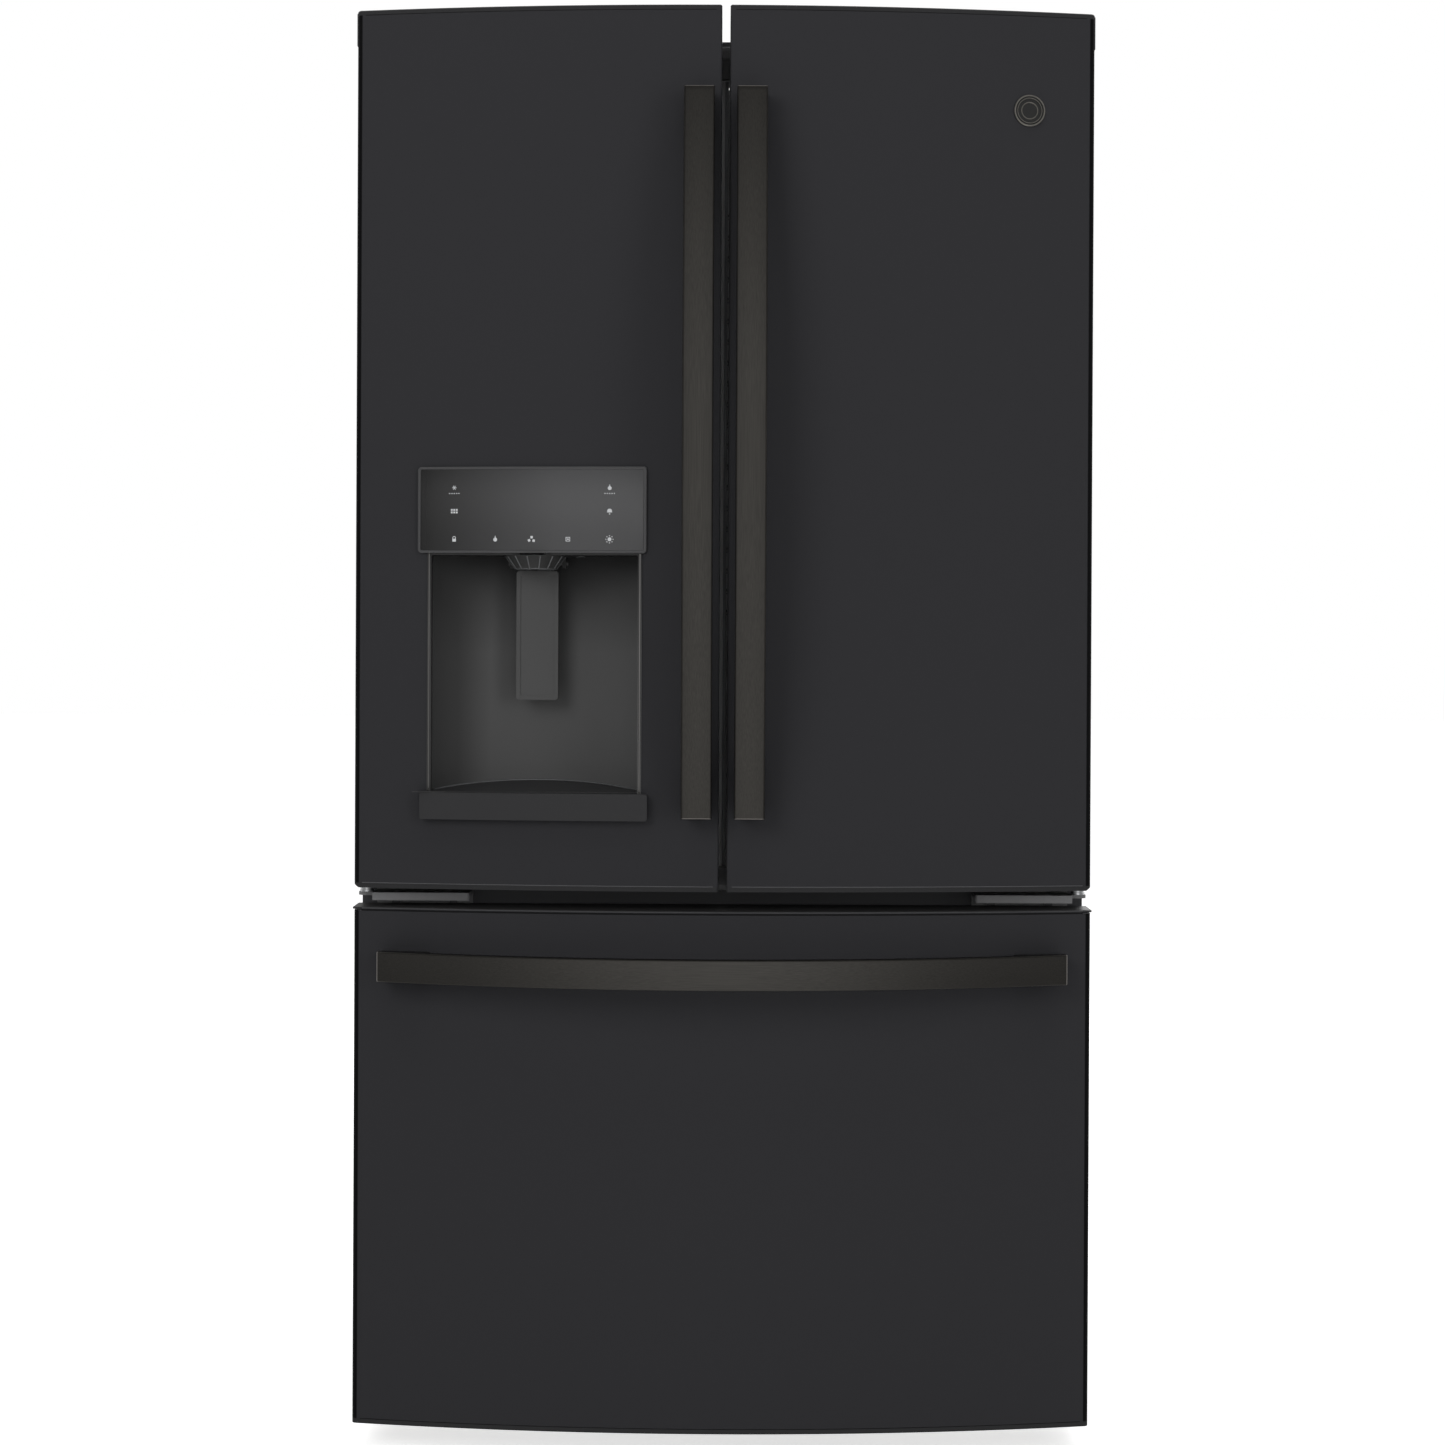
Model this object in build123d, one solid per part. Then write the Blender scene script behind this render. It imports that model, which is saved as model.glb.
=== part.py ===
from build123d import *
import os
from math import asin, degrees, sqrt

# French door refrigerator with a bottom freezer drawer and an ice and water
# dispenser in the left door.  Millimetres.  +X is to the right of somebody who
# faces the appliance, +Y runs to its back, +Z up.  The origin lies on the floor,
# in the middle of the width and of the depth with handles.

# ---------------------------------------------------------------- driving sizes
# case
case_width = 904.0          # painted cabinet, outside
case_depth = 746.0          # cabinet without doors
case_top = 1753.0           # top of the cabinet above the floor
floor_height = 60.0         # underside of the insulation above the floor
skirt_height = 30.0         # lower edge of the side sheets above the floor
sheet = 1.2                 # steel sheet of cabinet and back
liner = 2.0                 # plastic liners
side_wall = 42.0            # insulation with its sheets, at each side
top_wall = 31.0             # the same above the fresh food compartment
back_wall = 60.5            # the same behind both compartments
bottom_wall = 40.0          # the same below the freezer
middle_wall = 72.0          # between the compartments
freezer_height = 540.0      # freezer compartment, inside
machine_depth = 202.5       # machine room, front to back
machine_height = 240.0      # machine room, above the insulation's underside
machine_wall = 28.0         # insulation between machine room and freezer
machine_side = 12.0         # insulation beside the machine room
rib_inset = 120.0           # pressed ribs of the back sheet, from its edges
rib_from_middle = 220.0
rib_half = 15.0

# doors
door_overhang = 2.0         # doors beyond the sides of the case
door_gap = 10.0             # gap between the two upper doors
door_rise = 22.0            # upper doors above the case
door_lap = 16.5             # upper doors below the fresh food compartment's floor
drawer_drop = 25.0          # freezer front below the insulation's underside
side_depth = 52.0           # slab thickness at the outer edges
bow = 40.0                  # how far the front stands out in the middle
gasket_depth = 10.0         # space between the door backs and the cabinet
skin = 1.0                  # door sheet
cap_height = 6.0            # plastic end caps of the upper doors
outer_round = 6.5           # rounded outer vertical edges
inner_round = 3.0           # rounded edges beside the middle gap
cap_skirt = 43.0            # side lug of the top cap, hanging over the door's side
cap_proud = 1.2             # how far that lug stands out
cap_inset = 5.0             # that lug behind the door's front edge
cap_bevel = 7.0             # bevel at the bottom cap's outer corner
cap_edge = 1.2              # chamfer around the top cap
drawer_cap = 2.5            # top cap of the freezer front
drawer_groove = 1.5         # shadow groove below that cap
drawer_groove_depth = 2.0
fit = 0.3                   # clearance between moving neighbours
running = 0.05              # radial clearance of pins in their holes

# hinges
pin_inset = 12.0            # hinge axis from the outer side of the door
pin_setback = 30.0          # hinge axis behind the front at the outer edge
pin_radius = 5.0
pin_depth = 17.0            # how far a pin reaches into the door
plate = 4.0                 # thickness of the hinge plates
arm_half = 11.0             # half width of the top hinge arm
slot_play = 0.7             # play above and below the arm in its slot
bracket_stack = 7.5         # middle bracket's top below the upper doors
bracket_length = 120.0      # the bracket's front flange
bracket_from_pin = 9.0      # outer end of that flange from the hinge axis
bracket_flange = 9.5        # height of the front flange
bracket_gap = 7.0           # bracket above the freezer front
heel_drop = 14.0            # its flange on the cabinet, below the front flange
bracket_setback = 12.0      # front flange behind the outer edge of the door front
bracket_eye = 10.0          # rounded end around the pin
bracket_hole = 4.0          # radius of the holes in the bracket
bracket_hole_pitch = 32.0
bracket_hole_inset = 28.0
collar_radius = 8.5         # thrust washers on the middle hinge pin
hinge_back = 100.0          # top hinge plate, length on the cabinet
hinge_plate_width = 112.0
hinge_plate_inset = 2.0     # top hinge plate from the side of the case
plate_round = 8.0
cover_margin = 6.0          # hinge cover beyond the hinge plate
cover_wall = 2.0
screw_radius = 6.0
screw_head = 5.0
screw_inset_x = 22.0        # screws from the sides and the front of the hinge plate
screw_inset_y = 30.0
small_screw_radius = 5.0
small_screw_inset = 24.0

# inside of the doors
gasket_width = 16.0
gasket_inset = 18.0         # gasket's outer edge from the edge of the cabinet
gasket_rise = 20.0          # gasket above the fresh food compartment's ceiling
gasket_low = 3.0            # gasket above the door's lower end
gasket_to_gap = 7.0         # gasket from the door's edge beside the middle gap
gasket_edge = 2.0
dike_side = 2.0             # clearance of the door dikes to the liner's sides
dike_height = 4.0           # the same to the liner's floor and ceiling
dike_width = 24.0
dike_depth = 60.5
dike_rib = 12.0             # dikes along the top and the bottom
dike_to_gap = 51.0          # inner dike from the door's edge beside the middle gap
dike_inner_width = 20.0
bulge_depth = 33.5          # inner liner behind the dispenser
bulge_rise = 27.0           # its top above the control panel
bin_wall = 3.0
bin_depth = 100.0
bin_height = 95.0
bin_pitch = 245.0           # one door bin above the other
bin_start = 24.0            # lowest bin above the compartment's floor
bin_scoop = 30.0            # lowered back of a bin
bin_lip = 10.0              # front rail of a bin
bin_lug = 8.0               # lugs that carry a bin

# middle mullion, hinged on the left door
mullion_width = 42.0
mullion_depth = 18.0
mullion_right = 0.0         # free edge, clear of the right door while it swings
mullion_knuckle = 4.0       # hinge axis beside the bar
mullion_low = 6.0           # above the compartment's floor
mullion_high = 18.0         # below its ceiling
mullion_gap = 0.5           # behind the front of the cabinet
mullion_round = 3.0
knuckle_radius = 6.0
knuckle_length = 28.0
knuckle_from_end = 30.0
mullion_pin = 3.0
mullion_pin_length = 22.0
lug_length = 15.0
guide_left = 40.0           # guide block on the ceiling, from the middle
guide_right = 24.0
guide_depth = 56.0
guide_round = 8.0
guide_slot = 20.0

# handles
handle_reach = 73.0         # front of a handle before the door, in the middle
handle_end_reach = 37.0     # the same at its ends
handle_width = 37.0
bar = 12.0                  # thickness of the handle bars
handle_from_gap = 27.0      # upright handles' middle from the door's inner edge
handle_above = 91.0         # their lower end above the door's lower end
handle_below = 106.0        # their upper end below the door's top
foot_length = 62.0
foot_inset = 3.0            # feet narrower than the bar, on each side
foot_end = 1.0              # feet before the end of the bar
drawer_handle_inset = 34.0  # freezer handle's ends from the side of its front
drawer_handle_drop = 68.5   # its middle below the top of its front
drawer_foot = 64.0

# dispenser
disp_from_gap = 226.5       # its middle from the door's inner edge
disp_above = 115.5          # recess floor above the door's lower end
recess_height = 296.0
recess_half = 127.0
recess_back = 7.5           # deepest point behind the back of the door slab
recess_curve = 57.0         # depth of the curved back wall
recess_wall = 2.0
trim = 5.0                  # bright strips beside the recess
trim_proud = 1.2
panel_half = 140.5
panel_shift = 3.0           # the panel's middle to the left of the recess's
panel_height = 106.0
panel_depth = 16.0
panel_proud = 3.0
panel_round = 4.0
panel_edge = 0.8
chute_top = 38.0            # radius of the ice chute below the panel
chute_low = 26.0
chute_drop = 16.0
chute_back = 27.0           # chute axis behind the door front
chute_wall = 3.0
spout_radius = 5.0
spout_bore = 3.0
spout_before = 12.0         # water spout before the chute's axis
spout_drop = 2.0
paddle_width = 52.0
paddle_above = 116.0        # its lower end above the recess floor
paddle_below = 20.0         # its upper end below the recess ceiling
paddle_thick = 6.0
paddle_rim = 5.0
paddle_dish = 1.2
paddle_neck = 15.0          # half width of its neck
paddle_gap = 32.0           # front of the paddle before the deepest point of the recess
paddle_axis_gap = 17.0      # its axle before the deepest point
paddle_axis_drop = 10.0     # axle below the top of the recess
paddle_ear = 30.0           # bearings from the paddle's middle
axle = 3.0
sill_half = 139.5
sill_drop = 29.2            # lower edge of the sill below the recess floor
sill_proud = 12.0
sill_round = 3.0
tray_thick = 3.2
tray_slot = 7.0
tray_inset = 16.0
tray_slots = 11

# badge
badge_inset = 82.0          # middle of the round emblem from the side of the door
badge_drop = 122.0          # and from its top
badge_radius = 19.5
badge_thick = 2.2
badge_rim = 2.6
badge_dish = 0.6

# ice box on the left door
ice_above = 77.0            # above the control panel
ice_below = 32.0            # below the compartment's ceiling
ice_side = 4.0              # from the dikes
ice_depth = 145.5
ice_wall = 4.0
maker_height = 106.0
maker_inset = 30.0
maker_back = 50.0
bucket_gap = 20.0           # below the ice maker
bucket_play = 1.0
bucket_front = 5.0
bucket_back = 8.0
lid = 3.7
lid_knuckle = 4.5
lid_pin = 2.5
lid_axis = 5.0              # lid hinge from the side of the ice box
lid_pin_length = 14.0
latch_length = 60.0

# fresh food compartment
glass = 4.0
shelf_thick = 16.0
shelf_border = 14.0
shelf_rest = 5.0            # border below the glass
shelf_front = 155.5         # shelves behind the front of the cabinet
shelf_gap = 10.0            # shelves from the liner's sides
shelf_nose = 4.0
left_shelf_drop = 28.0      # left shelf below the ice box
right_shelf_rises = [230.0, 465.0]      # right shelves above the crispers' cover
arm_drop = 40.0             # steel arms below a shelf
arm_length = 180.0
arm_thick = 4.0
track_width = 14.0
track_depth = 8.0
track_above = 25.0          # above the crispers' cover
track_below = 42.0          # below the ceiling
track_side = 35.0           # outer tracks from the liner's sides
track_inner = 30.0
track_slots = 16
track_slot_half = 8.0
tower_half = 20.0
tower_proud = 6.0
tower_slots = 6
tower_slot = 8.0
crisper_front = 225.5       # crispers behind the front of the cabinet
crisper_bay = 273.0         # top of the glass above the crispers, over the floor
crisper_wall = 3.0
crisper_side = 6.0          # from the liner's side
crisper_play = 6.0          # below the cover, and before the tracks
crisper_front_wall = 8.0
grip_inset = 90.0
grip_depth = 5.0
grip_low = 34.0
grip_high = 14.0
divider_half = 6.0
divider_play = 2.0

# freezer compartment
rail_above = 50.0           # above the freezer's floor
rail_height = 40.0
rail_thick = 4.7
rail_front = 5.5
rail_back = 25.0            # before the step over the machine room
bin_above = 30.0
bin_gap = 30.0              # bin below the upper basket
basket_front = 115.5        # upper basket behind the front of the cabinet
basket_back = 70.0          # and before the back of the freezer
basket_below = 40.0         # below the freezer's ceiling
basket_height = 150.0
ledge_above = 110.0         # ledges above the lower edge of the basket
ledge_width = 8.0
ledge_height = 6.0
ledge_front = 25.5
ledge_back = 20.0
freezer_vent_half = 120.0   # air slots in the back wall
freezer_vent = 6.0
freezer_vent_pitch = 16.0

# underneath and machine room
roller_radius = 25.0
front_roller_radius = 22.0
front_axle_rise = 3.0       # front rollers clear of the floor
roller_width = 28.0
roller_side = 72.0          # rollers from the sides of the case
front_roller_back = 135.5   # front rollers behind the front of the cabinet
rear_roller_in = 60.5       # rear rollers before the back of the cabinet
roller_groove = 4.0
roller_rim = 6.0
axle_radius = 4.0
ear = 3.0                   # plates that hold a roller
ear_half = 14.0
ear_drop = 8.0
base_thick = 4.0
leg_side = 37.0
leg_back = 85.5             # levelling legs behind the front of the cabinet
leg_radius = 6.0
leg_nut = 13.0
leg_nut_height = 22.0
leg_flats = 11.0
leg_flats_height = 8.0
pad_radius = 16.0
pad_height = 8.0
grille_back = 30.5          # base grille behind the front of the cabinet
grille_low = 14.0
grille_thick = 6.0
grille_slots = 36
grille_slot_half = 5.0
grille_border = 8.0
grille_end = 50.0
compressor_side = 197.0     # compressor's axis from the side of the case
compressor_radius = 72.0
compressor_height = 150.0
compressor_round = 26.0
compressor_lift = 16.0
compressor_seam = 78.0
compressor_seam_height = 6.0
compressor_foot_x = 85.0
compressor_foot_y = 62.0
compressor_bolt_inset = 13.0
compressor_bolt = 11.0
terminal_depth = 24.0       # box over the compressor's terminals
terminal_half = 26.0
terminal_low = 34.0
terminal_high = 92.0
condenser_side = 262.0
condenser_length = 190.0
condenser_height = 130.0
condenser_half = 55.0
condenser_tube = 4.0
condenser_tube_pitch = 30.0
condenser_row_pitch = 33.0
condenser_tube_low = 20.0
condenser_fins = 14
fan_gap = 55.0              # fan from the condenser
fan_radius = 58.0
fan_height = 90.0
fan_hub = 14.0
fan_blade = 30.0
fan_pitch = 28.0
fan_plate = 3.0
fan_plate_half = 80.0
fan_plate_height = 180.0
fan_motor_radius = 20.0
fan_motor_length = 26.0
fan_motor_gap = 8.0
fan_arm = 4.0
fan_arm_half = 6.0
cover_sheet = 1.5
vent_rows = 5
vent_columns = 12
vent_pitch = 52.0
vent_row_pitch = 28.0
vent_half = 19.0
vent_half_height = 3.5
vent_low = 60.0
valve_side = 67.0           # water valve from the side of the case
valve_above = 140.0         # and above the base
valve_body = 16.0
coil_radius = 12.0
coil_height = 32.0
stub_radius = 5.5
stub_length = 14.0
stub_bore = 3.0
inlet_side = 67.0           # cord bushing from the side of the case
inlet_above = 60.0
inlet_radius = 9.0
inlet_bore = 4.5
inlet_flange = 4.0

# ------------------------------------------------------------------ worked out
total_depth = handle_reach + bow + side_depth + gasket_depth + case_depth
back_y = total_depth / 2
case_front = back_y - case_depth
door_back = case_front - gasket_depth
door_end = door_back - side_depth
door_mid = door_end - bow
case_half = case_width / 2
opening_half = case_half - side_wall
freezer_floor = floor_height + bottom_wall
freezer_ceiling = freezer_floor + freezer_height
fridge_floor = freezer_ceiling + middle_wall
fridge_ceiling = case_top - top_wall
door_half = case_half + door_overhang
door_top = case_top + door_rise
door_bottom = fridge_floor - door_lap
bracket_top = door_bottom - bracket_stack
drawer_top = bracket_top - bracket_flange - bracket_gap
drawer_bottom = floor_height - drawer_drop
gap_half = door_gap / 2
bow_radius = (door_half ** 2 + bow ** 2) / (2 * bow)
bow_centre = door_mid + bow_radius
pin_x = door_half - pin_inset
pin_y = door_end + pin_setback
bracket_end = pin_x - bracket_from_pin
bracket_start = bracket_end - bracket_length
liner_front = case_front + sheet
fridge_back = back_y - back_wall
machine_front = back_y - machine_depth
machine_top = floor_height + machine_height
step_y = machine_front - machine_wall
step_z = machine_top + machine_wall
mullion_front = case_front + mullion_gap
mullion_left = mullion_right - mullion_width
mullion_axis = mullion_width + mullion_knuckle - mullion_right
dike_outer = opening_half - dike_side
dike_back = door_back + dike_depth
dike_in = gap_half + dike_to_gap
dike_low = fridge_floor + dike_height
dike_high = fridge_ceiling - dike_height
bay_outer = dike_outer - dike_width
bay_inner = dike_in + dike_inner_width
handle_x = gap_half + handle_from_gap
handle_low = door_bottom + handle_above
handle_high = door_top - handle_below
drawer_handle_half = door_half - drawer_handle_inset
drawer_handle_z = drawer_top - drawer_handle_drop
disp_x = -(gap_half + disp_from_gap)
recess_floor = door_bottom + disp_above
recess_top = recess_floor + recess_height
panel_top = recess_top + panel_height
paddle_low = recess_floor + paddle_above
paddle_high = recess_top - paddle_below
sill_low = recess_floor - sill_drop
bulge_back = door_back + bulge_depth
bulge_top = panel_top + bulge_rise
ice_low = panel_top + ice_above
ice_high = fridge_ceiling - ice_below
crisper_cover = fridge_floor + crisper_bay
cover_low = crisper_cover - shelf_thick
left_shelf = ice_low - left_shelf_drop
right_shelves = [crisper_cover + rise for rise in right_shelf_rises]
track_low = crisper_cover + track_above
track_high = fridge_ceiling - track_below
track_outer = opening_half - track_side
rail_low = freezer_floor + rail_above
bin_low = freezer_floor + bin_above
basket_high = freezer_ceiling - basket_below
basket_low = basket_high - basket_height
bin_high = basket_low - bin_gap
ledge_z = basket_low + ledge_above
roller_x = case_half - roller_side
leg_x = case_half - leg_side
compressor_x = compressor_side - case_half
condenser_x = case_half - condenser_side
fan_x = condenser_x - condenser_length / 2 - fan_gap
valve_x = case_half - valve_side
valve_z = floor_height + valve_above
inlet_x = case_half - inlet_side
inlet_z = floor_height + inlet_above

parts = {}


# --------------------------------------------------------------------- helpers
def block(x0, x1, y0, y1, z0, z1):
    """A box between two corners."""
    middle = Pos((x0 + x1) / 2, (y0 + y1) / 2, (z0 + z1) / 2)
    return middle * Box(abs(x1 - x0), abs(y1 - y0), abs(z1 - z0))


def rod(start, end, radius):
    """A round bar from one point to another."""
    direction = Vector(*end) - Vector(*start)
    place = Plane(origin=start, z_dir=direction)
    upright = (Align.CENTER, Align.CENTER, Align.MIN)
    return place * Cylinder(radius, direction.length, align=upright)


def tub(x0, x1, y0, y1, z0, z1, wall):
    """A bin with four walls and a bottom, open at the top."""
    inside = block(x0 + wall, x1 - wall, y0 + wall, y1 - wall, z0 + wall, z1 + wall)
    return block(x0, x1, y0, y1, z0, z1) - inside


def front_at(x, proud=0.0):
    """Y of the bowed front, or of a surface that stands proud of it."""
    return bow_centre - sqrt((bow_radius + proud) ** 2 - x ** 2)


def slab_plan(x0, x1, proud, back, rounds):
    """Plan of a door: bowed front, straight sides, flat back, front corners rounded."""
    middle = (x0 + x1) / 2
    left = (x0, front_at(x0, proud))
    right = (x1, front_at(x1, proud))
    front = ThreePointArc(left, (middle, front_at(middle, proud)), right)
    sides = Polyline(right, (x1, back), (x0, back), left)
    face = make_face([front, sides])
    for x, radius in zip((x0, x1), rounds):
        if radius > 0:
            corner = face.vertices().sort_by_distance((x, front_at(x, proud), 0))[0]
            face = fillet(corner, radius)
    return face


def slab(x0, x1, z0, z1, proud=0.0, back=None, rounds=(0, 0)):
    """A door-shaped solid between two heights."""
    back = door_back if back is None else back
    return Pos(0, 0, z0) * extrude(slab_plan(x0, x1, proud, back, rounds), z1 - z0)


def in_front_plane(x0, x1, z0, z1, y0, y1, radius):
    """A plate with rounded corners seen from the front, from y0 back to y1."""
    place = Plane(origin=((x0 + x1) / 2, y1, (z0 + z1) / 2), x_dir=(1, 0, 0), z_dir=(0, -1, 0))
    return extrude(place * RectangleRounded(x1 - x0, z1 - z0, radius), y1 - y0)


def other_side(shape):
    """The same piece for the other side of the appliance."""
    return mirror(shape, about=Plane.YZ)


def group(*solids):
    """Separate solids that share one node."""
    return Compound(children=[solid for item in solids for solid in item.solids()])


# --------------------------------------------------------------------- cabinet
def cabinet_shell():
    """Side sheets, top sheet and the front flange that the gaskets seal on."""
    inner_x = case_half - sheet
    wrap = block(-case_half, case_half, case_front, back_y - sheet, skirt_height, case_top)
    wrap -= block(-inner_x, inner_x, liner_front, back_y, skirt_height - sheet, case_top - sheet)
    front = (case_front - sheet, liner_front + sheet)
    wrap -= block(-opening_half, opening_half, *front, fridge_floor, fridge_ceiling)
    wrap -= block(-opening_half, opening_half, *front, freezer_floor, freezer_ceiling)
    wrap -= block(-inner_x, inner_x, *front, skirt_height - sheet, floor_height)
    return wrap


def fridge_space(grow):
    """The fresh food compartment's room; grow takes in the liner's wall."""
    x = opening_half + grow
    return block(-x, x, liner_front, fridge_back + grow, fridge_floor - grow, fridge_ceiling + grow)


def freezer_space(grow):
    """The freezer compartment's room, stepped over the machine room."""
    x = opening_half + grow
    top = freezer_ceiling + grow
    low = block(-x, x, liner_front, step_y - liner + grow, freezer_floor - grow, top)
    return low + block(-x, x, liner_front, fridge_back + grow, step_z + liner - grow, top)


def open_front(space):
    """The same room, carried on through the front."""
    box = space.bounding_box()
    mouth = block(box.min.X, box.max.X, case_front, liner_front, box.min.Z, box.max.Z)
    return space + mouth


def cabinet_foam():
    """Foamed insulation between the sheets and the liners."""
    x = case_half - sheet
    body = block(-x, x, liner_front, back_y - sheet, floor_height, case_top - sheet)
    body -= fridge_space(liner)
    body -= freezer_space(liner)
    room = x - machine_side
    body -= block(-x, x, back_y - cover_sheet, back_y, floor_height - sheet, machine_top)
    return body - block(-room, room, machine_front, back_y, floor_height - sheet, machine_top)


def fridge_liner():
    """Fresh food liner with the mullion's guide block on its ceiling."""
    shell = fridge_space(liner) - open_front(fridge_space(0))
    guide_low = fridge_ceiling - mullion_high + dike_height
    front = mullion_front + 2
    guide = block(-guide_left, guide_right, front, front + guide_depth, guide_low, fridge_ceiling)
    guide = fillet(guide.edges().filter_by(Axis.Z), guide_round)
    half = (guide_left + guide_right) / 2 - guide_round - 10
    middle = (guide_right - guide_left) / 2
    y0 = front + guide_round
    slot = block(middle - half, middle + half, y0, y0 + guide_slot, guide_low - 1, guide_low + 6)
    return shell + (guide - slot)


def freezer_liner():
    """Freezer liner with a ledge on each side for the upper basket."""
    shell = freezer_space(liner) - open_front(freezer_space(0))
    inner = opening_half - ledge_width
    front = case_front + ledge_front
    ledge = block(inner, opening_half, front, fridge_back - ledge_back, ledge_z, ledge_z + ledge_height)
    vents = []
    for i in range(4):
        z = basket_low - bin_gap / 2 + i * freezer_vent_pitch
        half = freezer_vent_half
        vents.append(block(-half, half, fridge_back - 1, fridge_back + 1, z, z + freezer_vent))
    return shell + ledge + other_side(ledge) - vents


def back_panel():
    """Rear sheet above the machine room, with two pressed ribs."""
    sheet_back = block(-case_half, case_half, back_y - sheet, back_y, machine_top, case_top)
    for x in (-rib_from_middle, rib_from_middle):
        low = machine_top + rib_inset
        high = case_top - rib_inset
        sheet_back -= block(x - rib_half, x + rib_half, back_y - sheet / 2, back_y + sheet, low, high)
    return sheet_back


parts["cabinet_shell"] = cabinet_shell()
parts["cabinet_foam"] = cabinet_foam()
parts["fridge_liner"] = fridge_liner()
parts["freezer_liner"] = freezer_liner()
parts["back_panel"] = back_panel()


# ---------------------------------------------------------- underneath and feet
base_top = floor_height
base_low = floor_height - base_thick
front_roller_y = case_front + front_roller_back
rear_roller_y = back_y - rear_roller_in
leg_y = case_front + leg_back
ear_in = roller_width / 2 + fit
front_axle_z = front_roller_radius + front_axle_rise
nut_low = floor_height - leg_nut_height


def roller_bracket(x, y, axle_z):
    """Two ears under the base with the axle between them."""
    ears = []
    for side in (-1, 1):
        start = x + side * ear_in
        end = start + side * ear
        x0, x1 = sorted((start, end))
        ears.append(block(x0, x1, y - ear_half, y + ear_half, axle_z - ear_drop, base_low))
    half = ear_in + ear
    return ears[0] + ears[1] + rod((x - half, y, axle_z), (x + half, y, axle_z), axle_radius)


def base_pan():
    """Steel base with turned-down sides, roller brackets and nuts for the legs."""
    x = case_half - sheet
    front = case_front + grille_back + grille_thick
    rear = back_y - cover_sheet - 1
    pan = block(-x, x, front, rear, base_low, base_top)
    for side in (-1, 1):
        edge = sorted((side * x, side * (x - 2)))
        pan += block(*edge, front, rear, skirt_height + 2, base_low)
        pan += roller_bracket(side * roller_x, front_roller_y, front_axle_z)
        pan += roller_bracket(side * roller_x, rear_roller_y, roller_radius)
        pan += rod((side * leg_x, leg_y, nut_low), (side * leg_x, leg_y, base_low), leg_nut)
        bore = leg_radius + running
        pan -= rod((side * leg_x, leg_y, nut_low - 1), (side * leg_x, leg_y, base_low + 1), bore)
    return pan


def roller(x, y, axle_z, radius):
    """One nylon roller with a hub groove on each face."""
    half = roller_width / 2
    wheel = rod((x - half, y, axle_z), (x + half, y, axle_z), radius)
    wheel = fillet(wheel.edges(), 2.5)
    for face in (-1, 1):
        outside = (x + face * half, y, axle_z)
        inside = (x + face * (half - roller_groove), y, axle_z)
        ring = rod(outside, inside, radius - roller_rim)
        wheel -= ring - rod(outside, inside, axle_radius + ear + 2)
    return wheel - rod((x - half - 1, y, axle_z), (x + half + 1, y, axle_z), axle_radius + running)


def levelling_leg(x):
    """Threaded foot: pad on the floor, hexagonal nut above it, stud in the base."""
    pad = fillet(rod((x, leg_y, 0), (x, leg_y, pad_height), pad_radius).edges(), 1.5)
    flats = Pos(x, leg_y, pad_height) * extrude(RegularPolygon(leg_flats, 6), leg_flats_height)
    return pad + flats + rod((x, leg_y, pad_height), (x, leg_y, base_low - 2), leg_radius)


def base_grille():
    """Toe grille below the freezer front, with upright slots."""
    front = case_front + grille_back
    x = case_half - sheet - 4
    rear = front + grille_thick
    wall = grille_thick / 2
    grille = block(-x, x, front, rear, grille_low, base_top - 0.5)
    grille -= block(-x + wall, x - wall, front + wall, rear + 1, grille_low - 1, base_low)
    first = grille_end - x
    step = -2 * first / (grille_slots - 1)
    low = grille_low + grille_border
    high = base_low - grille_border
    slots = []
    for i in range(grille_slots):
        slot_x = first + i * step
        x0 = slot_x - grille_slot_half
        slots.append(block(x0, slot_x + grille_slot_half, front - 1, rear + 1, low, high))
    return grille - slots


parts["base_pan"] = base_pan()
parts["base_grille"] = base_grille()
for name, side in (("left", -1), ("right", 1)):
    x = side * roller_x
    parts[f"front_roller_{name}"] = roller(x, front_roller_y, front_axle_z, front_roller_radius)
    parts[f"rear_roller_{name}"] = roller(x, rear_roller_y, roller_radius, roller_radius)
    parts[f"levelling_leg_{name}"] = levelling_leg(side * leg_x)


# ---------------------------------------------------------------- machine room
room_y = (machine_front + back_y) / 2
fan_z = base_top + fan_height


def compressor():
    """Welded steel pot on four rubber feet, with a box over its terminals."""
    x = compressor_x
    low = base_top + compressor_lift
    pot = rod((x, room_y, low), (x, room_y, low + compressor_height), compressor_radius)
    pot = fillet(pot.edges(), compressor_round)
    seam_z = low + compressor_seam
    pot += rod((x, room_y, seam_z), (x, room_y, seam_z + compressor_seam_height), compressor_radius + 4)
    foot = block(
        x - compressor_foot_x,
        x + compressor_foot_x,
        room_y - compressor_foot_y,
        room_y + compressor_foot_y,
        low - 3,
        low + 3,
    )
    pot += foot - rod((x, room_y, low - 4), (x, room_y, low + 4), compressor_radius - compressor_round)
    for bolt_x in (compressor_bolt_inset - compressor_foot_x, compressor_foot_x - compressor_bolt_inset):
        for bolt_y in (compressor_bolt_inset - compressor_foot_y, compressor_foot_y - compressor_bolt_inset):
            spot = (x + bolt_x, room_y + bolt_y)
            pot += rod((*spot, base_top), (*spot, low + 6), compressor_bolt)
    box_x = x - compressor_radius - terminal_depth / 2
    return pot + block(
        box_x,
        box_x + terminal_depth,
        room_y - terminal_half,
        room_y + terminal_half,
        low + terminal_low,
        low + terminal_high,
    )


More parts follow.
